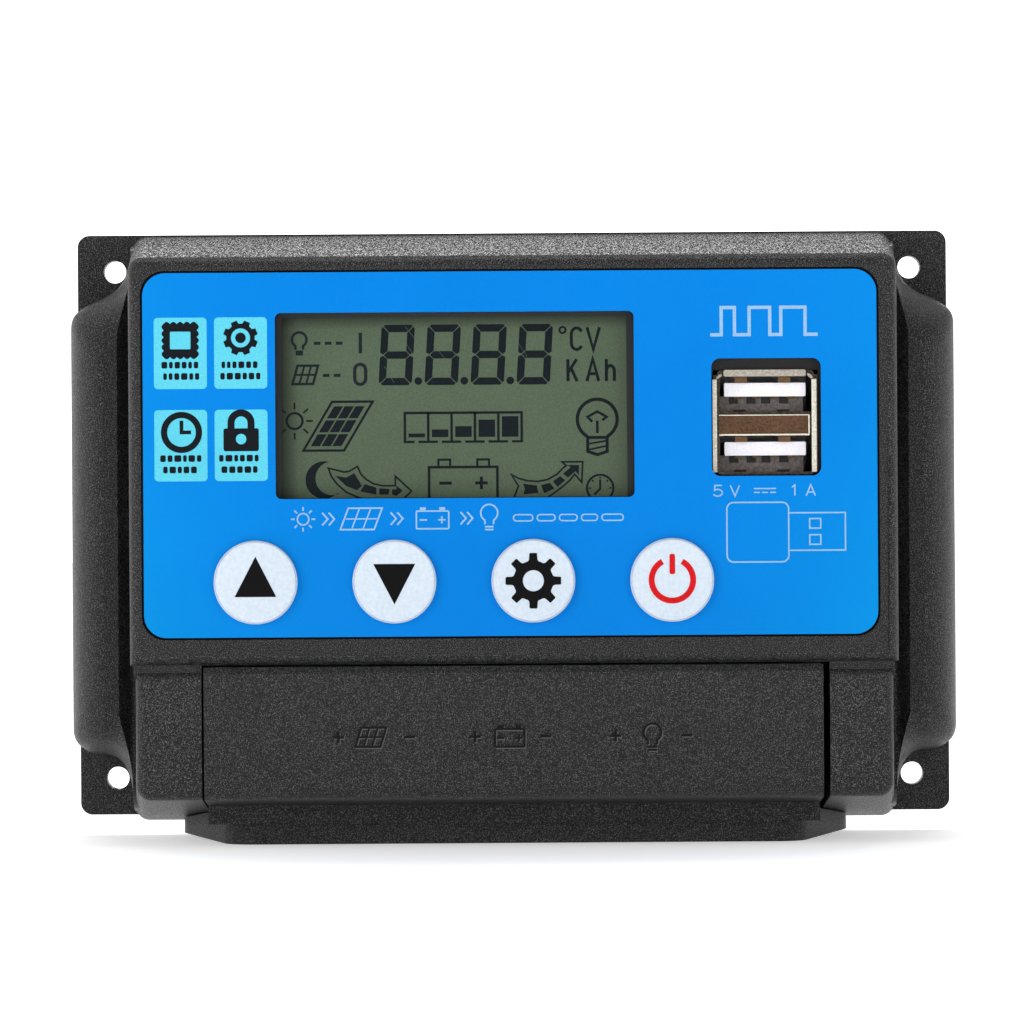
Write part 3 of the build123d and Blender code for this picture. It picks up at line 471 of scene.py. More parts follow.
def inlay(name, shapes, back, front, material, body="case"):
    """Thin closed solids between two depths (mm in front of the wall plane), one for each shape.

    A shape is a list of loops: its outline, and any holes.
    """
    bm = bmesh.new()
    for index, loops in enumerate(shapes):
        loops = [loop if (area(loop) > 0) == (k == 0) else loop[::-1]
                 for k, loop in enumerate(sorted(loops, key=lambda item: -abs(area(item))))]
        lift = LIFT * (index % LIFTS)
        flat = [p for loop in loops for p in loop]
        rows = [[bm.verts.new((x * MM, -depth * MM, z * MM)) for x, z in flat]
                for depth in (front + lift, back - lift)]
        for a, b, c in tessellate_polygon([[Vector((x, z, 0)) for x, z in loop] for loop in loops]):
            bm.faces.new((rows[0][a], rows[0][b], rows[0][c]))
            bm.faces.new((rows[1][c], rows[1][b], rows[1][a]))
        start = 0
        for loop in loops:
            size = len(loop)
            for i in range(size):
                a, b = start + i, start + (i + 1) % size
                bm.faces.new((rows[0][a], rows[1][a], rows[1][b], rows[0][b]))
            start += size
    return place(mesh_of(bm, name), name, material, body)


def lathe(name, sections, material, body, steps=96):
    """Closed turned solid about an axis along Y. Each section is (radius, depth, centre x, centre z)."""
    bm = bmesh.new()
    rows = [[bm.verts.new((a * MM, -depth * MM, b * MM)) for a, b in ring((x, z), radius, steps)]
            for radius, depth, x, z in sections]
    for first, second in zip(rows, rows[1:]):
        for i in range(steps):
            j = (i + 1) % steps
            bm.faces.new((first[i], first[j], second[j], second[i]))
    bm.faces.new(rows[0])
    bm.faces.new(rows[-1])
    mesh = mesh_of(bm, name)
    mesh.shade_smooth()
    mesh.set_sharp_from_angle(angle=SHARP)
    return place(mesh, name, material, body)


def middle(node):
    """Centre (x, z) of a CAD node, in mm."""
    low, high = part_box(node)
    return (low.x + high.x) / 2 / MM, (low.z + high.z) / 2 / MM


def front_of(node):
    """Depth of a CAD node's front, in mm."""
    return -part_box(node)[0].y / MM


# ------------------------------------------------------------------ keys
def key_shapes():
    gear = []
    for tooth in range(8):
        turn = 45 * tooth
        for radius, angle in ((2.75, -14.5), (2.95, -11.0), (3.7, -8.3), (3.8, -6.5),
                              (3.8, 6.5), (3.7, 8.3), (2.95, 11.0), (2.75, 14.5)):
            gear.append((radius * math.cos(math.radians(turn + angle)),
                         radius * math.sin(math.radians(turn + angle))))
    arch = stroke(arc((0, 0), 2.82, 118, 422, 64), 0.8)
    return {
        "up": ([[[(-2.83, -1.97), (2.83, -1.97), (0.02, 3.5)]]], KEY_BLACK),
        "down": ([[[(-2.85, 2.4), (2.85, 2.4), (0.0, -3.1)]]], KEY_BLACK),
        "settings": ([[gear, ring((0, 0), 1.43)]], KEY_BLACK),
        "power": ([arch, [rounded((0.0, 2.15), 0.76, 2.75, 0.25)]], KEY_RED),
    }


CAP_SHIFT = 0.2  # mm that the ring and disc moulded in a cap's face stand right of and above its axis
CAP_FOOT = ((-0.1, 0.0), (0.0, 0.1), (0.0, 1.1))  # mm beyond the flange's radius, mm above the foot
CAP_SHOULDER = (5.72, 1.2)  # radius, mm above the foot
CAP_WALL = ((5.7, 0.55), (5.68, 0.3), (5.6, 0.16), (5.46, 0.1))  # radius, mm below the top
CAP_DISC = ((5.26, 0.1), (5.22, 0.06), (5.14, 0.02), (5.0, 0.02), (4.0, 0.035))  # the same, off the axis
CAP_CENTRE = (0.6, 0.045)  # radius, mm below the top
# rings of painted shade at the disc's edge and at the top's edge
CAP_SHADE_RINGS = ((CAP_SHIFT, 5.2, 5.13), (0.0, 5.56, 5.5))  # mm off the axis, outer and inner radius


def key_cap(key, shapes, ink):
    """Cap with a flange at its foot, a slightly dished face with two fine rings of painted shade along the
    edges of its disc and its top, and its sign inlaid.
    """
    node, body = "key_" + key, key + "_key"
    x, z = middle(node)
    low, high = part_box(node)
    foot, top = -high.y / MM, -low.y / MM
    flange = (high.x - low.x) / 2 / MM
    sections = [(flange + beyond, foot + up, x, z) for beyond, up in CAP_FOOT]
    sections.append((CAP_SHOULDER[0], foot + CAP_SHOULDER[1], x, z))
    sections += [(radius, top - down, x, z) for radius, down in CAP_WALL]
    sections += [(radius, top - down, x + CAP_SHIFT, z + CAP_SHIFT) for radius, down in CAP_DISC]
    sections.append((CAP_CENTRE[0], top - CAP_CENTRE[1], x, z))
    cap = lathe("keycap_" + key, sections, FINISHES["key_plastic"], body)
    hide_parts(node)
    # rings of painted shade along the disc's and the top's edges
    lines = [[ring((x + shift, z + shift), outer), ring((x + shift, z + shift), inner)]
             for shift, outer, inner in CAP_SHADE_RINGS]
    inlay("key_edge_shade_" + key, lines, top - 0.12, top - 0.055, KEY_EDGE_SHADE, body)
    inlay("key_icon_" + key, [shifted(s, x, z) for s in shapes], top - 0.1, top - 0.012, ink, body)


for key, (shapes, ink) in key_shapes().items():
    key_cap(key, shapes, ink)


# ------------------------------------------------------------------ print on the blue label
label_x, label_z = middle("face_label")
label_front = front_of("face_label")


def on_label(shapes):
    return [shifted(s, label_x, label_z) for s in shapes]


def label_print(name, shapes, material=PRINT_WHITE, rise=0.012):
    return inlay(name, on_label(shapes), label_front - SUNK, label_front + rise, material)


def label_outline(beyond, corner):
    """The label's outline grown by beyond mm."""
    low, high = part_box("face_label")
    width, height = (high.x - low.x) / MM, (high.z - low.z) / MM
    return rounded((0, 0), width + 2 * beyond, height + 2 * beyond, corner, 12)


# a near-black ring along the label's edge: painted shadow of its recess
inlay("label_edge_painted_shadow", on_label([[label_outline(0.16, 3.36), label_outline(-0.1, 3.1)]]),
      label_front - 0.1, label_front + 0.012, LABEL_EDGE_SHADOW)
key_centres = [middle("key_" + key) for key in key_shapes()]
inlay("label_key_rims", [[ring(centre, 6.1), ring(centre, 5.7)] for centre in key_centres],
      label_front - SUNK, label_front + 0.008, FINISHES["label_print"])

TILE_WIDTH, TILE_HEIGHT = 7.2, 9.7
tile_columns = (-44.75, -36.55)
tile_rows = (13.9, 1.35)
label_print("label_tiles", [[rounded((x, z), TILE_WIDTH, TILE_HEIGHT, 0.55)]
                            for x in tile_columns for z in tile_rows], TILE_BLUE, 0.006)


def chip_icon(x, z):
    """Frame with a scalloped outer edge, five lobes to a side."""
    half, lobes, steps = 2.3, 5, 6
    loop = []
    for side in range(4):
        for k in range(lobes * steps):
            p = (-half + 2 * half * k / (lobes * steps), 2.24 + 0.3 * abs(math.sin(math.pi * k / steps)))
            for _ in range(side):
                p = (p[1], -p[0])
            loop.append((x + p[0], z + p[1]))
    return [[loop, rounded((x, z), 2.8, 2.4, 0.15)]]


def small_gear(x, z):
    loop = []
    for tooth in range(8):
        for radius, angle in ((1.95, -15), (2.4, -10), (2.4, 10), (1.95, 15)):
            turn = math.radians(22.5 + 45 * tooth + angle)
            loop.append((x + radius * math.cos(turn), z + radius * math.sin(turn)))
    return [[loop, ring((x, z), 1.3, 32)], [ring((x, z), 0.72, 24)]]


def clock_icon(x, z):
    return [[ring((x, z), 2.8), ring((x, z), 1.95)], stroke([(x, z + 1.6), (x, z), (x + 1.3, z)], 0.5)]


def padlock_icon(x, z):
    reach = 1.36
    shackle = [(x - reach, z + 1.4)] + arc((x, z + 2.3), reach, 180, 0, 20) + [(x + reach, z + 1.4)]
    return [[rounded((x, z), 4.8, 3.1, 0.3), ring((x, z + 0.1), 0.72, 24)], stroke(shackle, 0.95)]


label_print("label_tile_icons", chip_icon(tile_columns[0], 15.65) + small_gear(tile_columns[1], 15.95)
            + clock_icon(tile_columns[0] + 0.1, 3.15) + padlock_icon(tile_columns[1], 2.1), TILE_INK, 0.02)

lots = random.Random(7)
DASH_HEIGHT, DASH_GAP, DASH_LEAST = 0.9, 0.26, 0.5
dashes = []
for x in tile_columns:
    for z in (12.3, 10.75, -0.4, -1.95):
        left = x - lots.uniform(2.3, 3.1)
        right = x + lots.uniform(2.3, 3.1)
        while left < right - DASH_LEAST:
            width = min(lots.uniform(0.45, 0.95), right - left)
            dashes.append([rounded((left + width / 2, z), width, DASH_HEIGHT, 0.2, 3)])
            left += width + DASH_GAP
label_print("label_tile_dashes", dashes, TILE_INK, 0.02)

wave_low, wave_high = 15.95, 19.65
wave = [(27.3, wave_low)]
for rise, fall in ((28.8, 30.6), (32.6, 35.4), (36.9, 40.2)):
    wave += [(rise, wave_low), (rise, wave_high), (fall, wave_high), (fall, wave_low)]
wave.append((41.9, wave_low))
label_print("label_pulse_wave", [stroke(wave, 0.45)])


def rays(x, z, inner, outer, turns, line):
    """Radial strokes about a point, at these angles."""
    shapes = []
    for turn in turns:
        c, s = math.cos(math.radians(turn)), math.sin(math.radians(turn))
        shapes.append(bar((x + inner * c, z + inner * s), (x + outer * c, z + outer * s), line))
    return shapes


def sun_icon(x, z, size=1.0, line=0.22):
    return ([stroke(ring((x, z), 0.82 * size, 28), line, True)]
            + rays(x, z, 1.2 * size, 1.75 * size, range(0, 360, 45), line))


def chevrons(x, z):
    return [stroke([(left - 0.4, z + 0.85), (left + 0.35, z), (left - 0.4, z - 0.85)], 0.24)
            for left in (x, x + 0.9)]


def panel_icon(x, z, width=4.6, height=2.9, lean=1.1, line=0.22):
    """Leaning panel of two rows of three cells."""
    def at(u, v):
        return (x + (u - 0.5) * width + (v - 0.5) * lean, z + (v - 0.5) * height)
    shapes = [stroke([at(0, 0), at(1, 0), at(1, 1), at(0, 1)], line, True)]
    shapes += [bar(at(k / 3, 0.05), at(k / 3, 0.95), line * 0.8) for k in (1, 2)]
    shapes.append(bar(at(0.04, 0.5), at(0.96, 0.5), line * 0.8))
    return shapes


def battery_icon(x, z, width=4.4, height=2.4, line=0.22):
    shapes = [stroke(rounded((x, z - 0.2), width, height, 0.15, 3), line, True)]
    shapes += [[rounded((x + s * width * 0.3, z + height / 2 + 0.12), 0.8, 0.4)] for s in (-1, 1)]
    shapes += [bar((left, z - 0.2), (left + 1.0, z - 0.2), line) for left in (x - 1.75, x + 0.75)]
    shapes.append(bar((x + 1.25, z - 0.7), (x + 1.25, z + 0.3), line))
    return shapes


def bulb_icon(x, z, radius=1.15, line=0.22):
    glass = arc((x, z + 0.35 * radius), radius, -58, 238, 36)
    neck = radius * 0.5
    shapes = [stroke([(x + neck, z - 1.0 * radius)] + glass + [(x - neck, z - 1.0 * radius)], line)]
    shapes += [bar((x - neck, z - k * radius), (x + neck, z - k * radius), line) for k in (1.28, 1.62)]
    return shapes


caption_z = -8.75
caption = sun_icon(-28.2, caption_z, 0.95) + chevrons(-25.2, caption_z) + panel_icon(-20.3, caption_z)
caption += chevrons(-15.9, caption_z) + battery_icon(-10.6, caption_z) + chevrons(-6.4, caption_z)
caption += bulb_icon(-2.9, caption_z + 0.3)
left, caption_end, least = 0.4, 15.9, 0.3
while left < caption_end - least:
    width = min(lots.uniform(1.3, 3.2), caption_end - left)
    caption.append(stroke(rounded((left + width / 2, caption_z), width, 0.85, 0.4, 5), 0.18, True))
    left += width + 0.6
label_print("label_caption_row", caption)


GLYPH_WIDTH = 0.6


def glyph_strokes(character):
    """Centre lines of a plain sans character in a box GLYPH_WIDTH wide and 1 high."""
    lines = {
        "0": [arc((0.3, 0.72), 0.28, 180, 0, 10) + arc((0.3, 0.28), 0.28, 0, -180, 10) + [(0.02, 0.72)]],
        "1": [[(0.12, 0.8), (0.32, 1.0), (0.32, 0.0)]],
        "5": [[(0.56, 1.0), (0.1, 1.0), (0.07, 0.55)] + arc((0.27, 0.32), 0.31, 110, -150, 14)],
        "A": [[(0.0, 0.0), (0.3, 1.0), (0.6, 0.0)], [(0.12, 0.33), (0.48, 0.33)]],
        "V": [[(0.0, 1.0), (0.3, 0.0), (0.6, 1.0)]],
        "C": [arc((0.31, 0.7), 0.29, 25, 180, 12) + arc((0.31, 0.3), 0.29, 180, 335, 12)],
        "K": [[(0.05, 1.0), (0.05, 0.0)], [(0.58, 1.0), (0.08, 0.42)], [(0.24, 0.6), (0.6, 0.0)]],
        "h": [[(0.05, 1.0), (0.05, 0.0)],
              [(0.05, 0.45)] + arc((0.3, 0.45), 0.25, 150, 0, 10) + [(0.55, 0.0)]],
        "I": [[(0.3, 1.0), (0.3, 0.0)]],
    }
    return lines[character]


def glyph(character, left, foot, width, height, line):
    return [stroke([(left + x / GLYPH_WIDTH * width, foot + z * height) for x, z in points], line)
            for points in glyph_strokes(character)]


rating = []
for character, left in (("5", 27.6), ("V", 29.9), ("1", 38.0), ("A", 40.2)):
    rating += glyph(character, left, -5.98, 1.25, 1.46, 0.19)
rating.append(bar((33.1, -4.98), (36.1, -4.98), 0.18))
rating += [bar((33.1 + right, -5.5), (33.9 + right, -5.5), 0.18) for right in (0, 1.1, 2.2)]
label_print("label_rating", rating)

plug = [stroke(rounded((33.6, -10.9), 8.4, 8.1, 0.9, 5), 0.2, True),
        stroke([(37.8, -8.3), (45.5, -8.3), (45.5, -13.4), (37.8, -13.4)], 0.2),
        stroke(rounded((41.4, -9.75), 1.5, 1.3, 0.0), 0.19, True),
        stroke(rounded((41.4, -11.95), 1.5, 1.3, 0.0), 0.19, True)]
label_print("label_plug_mark", plug)


# ------------------------------------------------------------------ display
lcd_x, lcd_z = middle("lcd_glass")
lcd_front = front_of("lcd_glass")


def on_lcd(name, shapes, material=LCD_INK, rise=0.02):
    placed = [shifted(s, lcd_x, lcd_z) for s in shapes]
    return inlay(name, placed, lcd_front - SUNK, lcd_front + rise, material)


across, up = 24.4, 12.65  # half the window's width and height
rim = [rounded((0, 0), 2 * across + 1.4, 2 * up + 1.0, 0.3),
       [(-across + 0.85, up - 0.55), (across - 0.96, up - 0.45), (across - 0.9, -up + 0.12),
        (-across + 0.75, -up + 0.12)]]
inlay("lcd_rim", [shifted(rim, lcd_x, lcd_z)], lcd_front + 0.06, lcd_front + 0.5, LCD_RIM)


def eight(left, foot, width=4.55, height=8.25, line=1.0):
    """Seven mitred segments of one leaning digit."""
    lean = math.tan(math.radians(3.4))
    cut, gap, half = 0.4, 0.1, height / 2
    top = [(cut / 2 + gap, height - cut / 2), (cut + gap, height), (width - cut - gap, height),
           (width - cut / 2 - gap, height - cut / 2), (width - line - gap / 2, height - line),
           (line + gap / 2, height - line)]
    side = [(cut / 2, height - cut / 2 - gap), (0, height - cut - gap), (0, half + 0.32),
            (line * 0.42, half + gap * 0.9), (line, half + line / 2 + gap * 0.6),
            (line, height - line - gap)]
    bridge = [(line * 0.52, half), (line * 1.04, half + line / 2), (width - line * 1.04, half + line / 2),
              (width - line * 0.52, half), (width - line * 1.04, half - line / 2),
              (line * 1.04, half - line / 2)]
    shapes = []
    for loop in (top, side, [(width - x, z) for x, z in side]):
        shapes += [loop, [(x, height - z) for x, z in loop]]
    shapes.append(bridge)
    return [[[(left + x + z * lean, foot + z) for x, z in loop]] for loop in shapes]


DIGITS, DIGIT_PITCH = 4, 6.28
digits = []
for k in range(DIGITS):
    digits += eight(-10.42 + DIGIT_PITCH * k, 2.8)
    if k < DIGITS - 1:
        digits.append([ring((-4.98 + DIGIT_PITCH * k, 3.36), 0.52, 24)])
on_lcd("lcd_digits", digits)

hairlines = (((-6.7, 10.8), (-3.9, 7.2)), ((-7.3, 9.6), (-5.6, 6.9)), ((-2.9, 8.4), (-1.0, 6.0)),
             ((7.6, 10.2), (9.9, 6.6)), ((-9.6, 5.4), (-8.3, 3.2)))
on_lcd("lcd_scratches", [stroke(hairline, 0.04) for hairline in hairlines], LCD_HAIRLINE, 0.035)

units = []
for character, left, foot, width, height in (("C", 15.9, 7.5, 1.5, 3.0), ("V", 18.1, 7.5, 1.7, 3.05),
                                             ("K", 15.35, 3.2, 1.35, 3.0), ("A", 18.05, 3.2, 1.6, 3.05),
                                             ("h", 20.6, 3.2, 1.3, 3.0)):
    units += glyph(character, left, foot, width, height, 0.42)
units.append(stroke(ring((14.75, 10.2), 0.42, 20), 0.28, True))
on_lcd("lcd_units", units)


def status_dashes(left, z, count):
    return [bar((left + 1.5 * k, z), (left + 0.9 + 1.5 * k, z), 0.42) for k in range(count)]


status = bulb_icon(-21.2, 8.75, 1.0, 0.34) + status_dashes(-19.2, 8.6, 3)
status += glyph("I", -13.6, 7.2, 1.5, 2.8, 0.45)
status += panel_icon(-20.4, 4.3, 2.8, 2.5, 0.7, 0.34) + status_dashes(-18.0, 4.2, 2)
status += glyph("0", -13.7, 2.95, 1.6, 2.75, 0.45)
on_lcd("lcd_status_marks", status, LCD_FAINT)

sun = [stroke(ring((-21.9, -2.0), 1.08, 32), 0.32, True)]
sun += rays(-21.9, -2.0, 1.6, 2.5, (0, 42, 90, 138, 222, 270, 318), 0.24)
on_lcd("lcd_sun", sun)


def slanted(u, v):
    """Point of the solar panel's outline; u runs right and v runs up."""
    return (-20.72 + u * 5.55 + v * 3.95, -6.05 + v * 6.65)


def slanted_box(u, v, width, height):
    return [slanted(u, v), slanted(u + width, v), slanted(u + width, v + height), slanted(u, v + height)]


panel = [stroke(slanted_box(0, 0, 1, 1), 0.32, True)]
panel += [[slanted_box(0.115 + 0.265 * i, 0.09 + 0.285 * j, 0.225, 0.245)]
          for i in range(3) for j in range(3)]
on_lcd("lcd_panel", panel)

bars = []
cell, bars_left, bars_foot, bars_top = 3.19, -6.85, -4.95, -0.98
fills = (0.52, 1.05, 1.48, 2.35, 2.8)
bars_right = bars_left + cell * len(fills)
for k, fill in enumerate(fills):
    left = bars_left + cell * k
    bars.append([rounded((left + cell / 2 + 0.02, -4.32 + fill / 2), 2.25, fill)])
    bars.append(bar((left, bars_foot), (left, bars_top), 0.34))
    bars.append(bar((left - 0.17, bars_foot), (left + 1.3, bars_foot), 0.32))
    bars.append(bar((left + 1.85, bars_foot), (left + cell, bars_foot), 0.32))
bars.append(bar((bars_right, bars_foot - 0.15), (bars_right, bars_top), 0.34))
bars.append(bar((bars_left - 0.17, -1.0), (bars_right + 0.17, -1.0), 0.34))
on_lcd("lcd_level_bars", bars)

neck_left, neck_right, neck_top = 18.1, 20.75, -4.5
glass = arc((19.42, -2.0), 2.72, -58, 238, 48)
bulb = [stroke([(neck_right, neck_top)] + glass + [(neck_left, neck_top)], 0.46),
        stroke([(neck_left, neck_top), (neck_right, neck_top), (neck_right, -6.4), (19.45, -6.85),
                (neck_left, -6.4)], 0.42, True),
        bar((18.25, -5.35), (20.7, -4.95), 0.24),
        bar((18.25, -6.15), (20.7, -5.65), 0.24),
        stroke([(18.75, -2.35), (18.1, -1.68), (19.42, -0.95), (20.7, -1.68), (20.1, -2.15)], 0.34),
        bar((19.42, -2.2), (19.42, -3.9), 0.36)]
on_lcd("lcd_bulb", bulb)

moon = arc((-17.91, -10.06), 2.55, 77, 315, 40) + arc((-16.8, -9.85), 2.3, 292, 104, 36)
on_lcd("lcd_moon", [[moon]])

battery = [stroke([(-3.59, -12.55), (-3.59, -8.42), (5.74, -8.42), (5.74, -12.55)], 0.36)]
battery += [stroke([(a, -8.5), (a, -7.4), (a + 1.6, -7.4), (a + 1.6, -8.5)], 0.3) for a in (-2.3, 3.0)]
battery += [bar((-2.2, -10.6), (-0.5, -10.6), 0.42), bar((2.7, -10.6), (4.4, -10.6), 0.42),
            bar((3.55, -11.45), (3.55, -9.75), 0.42)]
on_lcd("lcd_battery", battery)

arrow_left = [(-17.35, -8.45), (-15.2, -9.0), (-14.5, -8.9), (-13.35, -8.25), (-12.9, -9.3), (-12.2, -10.0),
              (-11.25, -10.6), (-10.0, -10.9), (-8.2, -10.9), (-8.2, -9.6), (-6.0, -11.65), (-7.6, -13.2),
              (-11.3, -13.0), (-13.35, -12.45), (-14.9, -11.75), (-16.1, -10.7), (-16.9, -9.65)]
flow_left = [stroke(arrow_left, 0.24, True),
             [[(-16.4, -9.5), (-14.9, -9.75), (-13.8, -9.15), (-12.75, -10.9), (-13.45, -11.5),
               (-14.9, -10.9)]],
             [[(-12.4, -10.65), (-10.8, -11.15), (-10.8, -12.1), (-13.0, -11.65)]],
             [[(-10.4, -11.25), (-9.0, -11.35), (-9.15, -12.1), (-10.4, -12.1)]],
             [[(-8.65, -11.4), (-8.05, -11.4), (-8.05, -10.9), (-7.2, -11.6), (-8.05, -12.3),
               (-8.65, -12.1)]]]
on_lcd("lcd_arrow_left", flow_left)

arrow_right = [(7.65, -9.5), (8.6, -10.0), (9.85, -10.35), (11.25, -10.45), (12.6, -10.2), (13.85, -9.5),
               (14.7, -8.65), (15.15, -8.3), (14.55, -7.8), (17.4, -7.8), (17.25, -10.6), (16.3, -9.5),
               (15.6, -10.35), (14.35, -11.4), (13.15, -12.25), (12.2, -12.9), (7.9, -12.9), (8.6, -11.05)]
flow_right = [stroke(arrow_right, 0.24, True),
              [[(9.2, -10.75), (11.1, -11.0), (11.3, -12.0), (9.3, -12.2), (9.5, -11.4)]],
              [[(11.7, -10.95), (12.9, -10.65), (13.5, -11.45), (12.1, -12.05)]],
              [[(13.3, -10.45), (14.3, -9.75), (15.0, -10.3), (13.95, -11.2)]],
              [[(14.7, -9.4), (15.75, -8.55), (15.3, -8.25), (16.9, -8.25), (16.85, -9.6), (16.4, -9.1),
                (15.35, -9.95)]]]
on_lcd("lcd_arrow_right", flow_right)

clock_x, clock_z = 19.76, -11.4
clock = [stroke(arc((clock_x, clock_z), 1.8, -45, 225, 40), 0.3),
         stroke([(clock_x, -10.25), (clock_x, -11.5), (18.95, -12.3)], 0.28)]
clock += rays(clock_x, clock_z, 1.25, 1.55, range(0, 181, 45), 0.2)
on_lcd("lcd_clock", clock)


# ------------------------------------------------------------------ USB outlet
usb_low, usb_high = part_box("usb_shell")
mouth = front_of("usb_shell")
usb_middle = 7.45  # mm from the left edge of its opening
usb_left = (usb_low.x + usb_high.x) / 2 / MM - usb_middle
usb_top = usb_high.z / MM + 1.6


def usb(name, shapes, back, front, material):
    """Inlays in the outlet's opening; shapes are in mm to the right of and below its upper left corner."""
    turned = [[[(usb_left + x, usb_top - z) for x, z in loop] for loop in loops] for loops in shapes]
    return inlay(name, turned, mouth + back, mouth + front, material)


def span(left, right, top, bottom, corner=0.0):
    return [rounded(((left + right) / 2, (top + bottom) / 2), right - left, bottom - top, corner)]


usb("usb_top_lip", [span(1.7, 12.9, 1.55, 2.45, 0.25)], 0.06, 0.7, USB_LIP)
# the side flares and the web's edges are painted near white, as painted highlights on their metal
usb("usb_side_flares", [span(0.2, 0.78, 2.85, 15.5, 0.1), span(13.7, 14.35, 2.85, 15.5, 0.1)],
    0.06, 0.6, USB_HIGHLIGHT)
usb("usb_corner_tabs", [[[(0.75, 2.5), (1.05, 2.2), (1.5, 2.05), (1.5, 2.35), (1.1, 2.65), (0.75, 2.8)]],
                        [[(13.7, 2.8), (13.4, 2.6), (13.1, 2.3), (13.1, 2.0), (13.6, 2.2), (13.9, 2.6)]]],
    0.06, 0.5, USB_LIP)
web_edges = [span(1.1, 13.4, 7.65, 7.78), span(1.1, 13.4, 10.28, 10.5), span(13.25, 13.42, 7.75, 10.3)]
usb("usb_web_edges", web_edges, 0.02, 0.28, USB_HIGHLIGHT)
usb("usb_web_face", [span(1.1, 13.2, 7.8, 10.26)], 0.02, 0.16, USB_WEB)
# near-black ring around the shell behind its mouth: painted shade in the gap between the shell and the case
usb("usb_gap_shade", [[rounded((usb_middle, 8.0), 17.0, 18.0), rounded((usb_middle, 8.7), 14.3, 14.3)]],
    -1.0, -0.35, USB_SHADE)
springs = [span(left, left + 1.7, top, top + 0.75) for left in (3.25, 9.15) for top in (2.5, 10.62)]
usb("usb_springs", springs, -0.9, -0.3, USB_SPRING)
slots = [span(left, left + 1.25, top, top + 0.95)
         for left in (2.55, 4.95, 6.95, 9.4) for top in (5.15, 13.2)]
notches = [span(left, left + 1.7, top, top + 0.4) for left in (3.2, 9.1) for top in (6.9, 15.1)]
# the ports' floors deep inside are tan grey: painted shade
floors = [span(1.05, 12.7, top, top + 2.3) for top in (5.1, 13.15)]
usb("usb_port_floors", floors, -2.9, -2.6, USB_PORT_SHADE)
# the spring slots and notches are near-black sheets: painted shade in the holes
usb("usb_port_slots", slots + notches, -2.7, -2.5, USB_SHADE)


# ------------------------------------------------------------------ moulded signs on the terminal cover
cover_front = front_of("terminal_cover")
SIGN_SIZE, SIGN_LINE, SIGN_Z = 1.5, 0.35, -29.0
panel_x, battery_x, bulb_x = -19.6, -0.7, 18.7


def cover_sign(x, crossed):
    half = SIGN_SIZE / 2
    shapes = [bar((x - half, SIGN_Z), (x + half, SIGN_Z), SIGN_LINE)]
    if crossed:
        shapes.append(bar((x, SIGN_Z - half), (x, SIGN_Z + half), SIGN_LINE))
    return shapes


signs = []
for icon_x, plus_off, minus_off in ((panel_x, -4.4, 5.3), (battery_x, -4.7, 4.9), (bulb_x, -5.0, 4.7)):
    signs += cover_sign(icon_x + plus_off, True) + cover_sign(icon_x + minus_off, False)
signs += panel_icon(panel_x, SIGN_Z, 3.4, 2.6, 0.8, 0.3)
signs += battery_icon(battery_x, SIGN_Z, 4.0, 2.4, 0.3)
signs += bulb_icon(bulb_x, SIGN_Z, 1.2, 0.3)
# the signs are darker than the cover, as painted shade of their relief
inlay("cover_signs", signs, cover_front - 0.1, cover_front + 0.16, SIGN_SHADE, "cover")
# a lighter copy set a little right and down behind the signs: painted highlight on their edges
inlay("cover_sign_painted_highlights", [shifted(shape, 0.13, -0.15) for shape in signs],
      cover_front - 0.1, cover_front + 0.12, SIGN_HIGHLIGHT, "cover")


# ------------------------------------------------------------------ camera, light and floor
CAMERA_AWAY = 0.7  # m in front of the wall plane
CAMERA_ROLL = 0.37  # degrees, for the photograph's slight turn
CAMERA_LENS = 172.27  # mm, so that the object fills as much of the picture as in the photograph
camera = bpy.data.objects.new("camera", bpy.data.cameras.new("camera"))
scene.collection.objects.link(camera)
camera.data.sensor_width = 36
camera.data.lens = CAMERA_LENS
camera.location = (-0.0002, -CAMERA_AWAY, 0.0015)
camera.rotation_euler = (math.pi / 2, math.radians(CAMERA_ROLL), 0)
camera.data.clip_start = 0.05
camera.data.clip_end = 20
scene.camera = camera


def softbox(name, position, width, height, power):
    """Rectangular light aimed at the origin."""
    light = bpy.data.lights.new(name, "AREA")
    light.shape = "RECTANGLE"
    light.size = width
    light.size_y = height
    light.energy = power
    lamp = bpy.data.objects.new(name, light)
    scene.collection.objects.link(lamp)
    lamp.location = position
    lamp.rotation_euler = (-Vector(position)).to_track_quat("-Z", "Y").to_euler()


softbox("key_light", (0.05, -0.6, 0.6), 0.7, 0.3, 0.4)
softbox("back_light", (0.0, 0.3, 0.7), 0.9, 0.25, 3.6)
softbox("left_fill", (-0.56, -0.5, 0.1), 0.4, 0.8, 2.3)
softbox("right_fill", (0.52, -0.58, 0.1), 0.36, 0.8, 1.35)

ROOM_LIGHT = 0.06


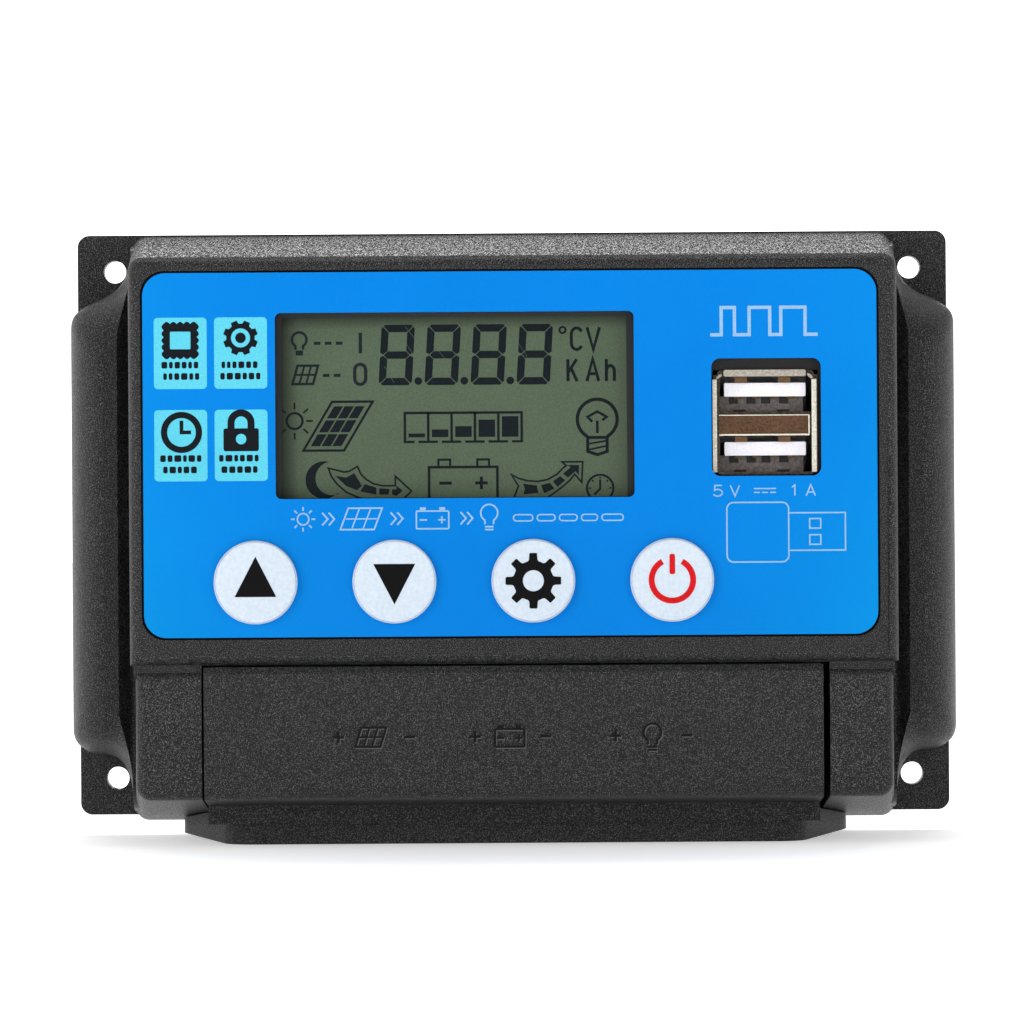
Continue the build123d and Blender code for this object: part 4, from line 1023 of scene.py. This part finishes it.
def studio_world():
    """White backdrop behind the object, white panels at its sides and a faint ceiling; the rest is dark."""
    world = bpy.data.worlds.new("studio")
    world.use_nodes = True
    w = Tree(world.node_tree)
    towards = w.axes(w.add("ShaderNodeTexCoord").outputs["Generated"])

    def panel(axis, start, end, most=1.0):
        """White from the direction end on, fading to nothing at start."""
        return w.spread(towards[axis], 0.0, most, start, end)

    backdrop, ceiling = panel("Y", 0.9, 0.97, 2.1), panel("Z", 0.35, 0.95, 0.25)
    sides = w.math("MAXIMUM", panel("X", -0.24, -0.44, 1.4), panel("X", 0.24, 0.44, 0.96))
    band = w.math("MULTIPLY", panel("Z", 0.6, 0.4), panel("Z", -0.6, -0.4))
    total = w.math("MAXIMUM", w.math("MAXIMUM", backdrop, ceiling), w.math("MULTIPLY", sides, band))
    background = w.tree.nodes["Background"]
    w.link(w.math("ADD", total, ROOM_LIGHT), background.inputs["Strength"])
    background.inputs["Color"].default_value = WHITE
    scene.world = world


studio_world()
scene.view_settings.view_transform = "Standard"


def floor_finish():
    """Matt white that glows, more so away from the object, so that it runs into the backdrop."""
    n = Nodes("studio_floor")
    grain = n.noise(60.0, 2.0)
    away = n.add("ShaderNodeVectorMath", operation="LENGTH")
    n.link(n.place, away.inputs[0])
    n.link(n.spread(away.outputs["Value"], 0.42, 1.0, 0.06, 0.17), n.shader.inputs["Emission Strength"])
    n.shader.inputs["Emission Color"].default_value = WHITE
    return n.finish(n.ramp(grain, (0.3, (0.8, 0.8, 0.805, 1)), (0.7, (0.82, 0.82, 0.825, 1))),
                    n.spread(grain, 0.7, 0.8), n.bump(grain, 0.05, 0.1))


FLOOR_REACH = 4.0
base = cad_box[0].z
ground = bpy.data.meshes.new("studio_floor")
corners = [(a * FLOOR_REACH, b * FLOOR_REACH, base) for a, b in ((-1, -1), (1, -1), (1, 1), (-1, 1))]
ground.from_pydata(corners, [], [(0, 1, 2, 3)])
ground.materials.append(floor_finish())
floor = bpy.data.objects.new("studio_floor", ground)
scene.collection.objects.link(floor)

bpy.context.view_layer.update()
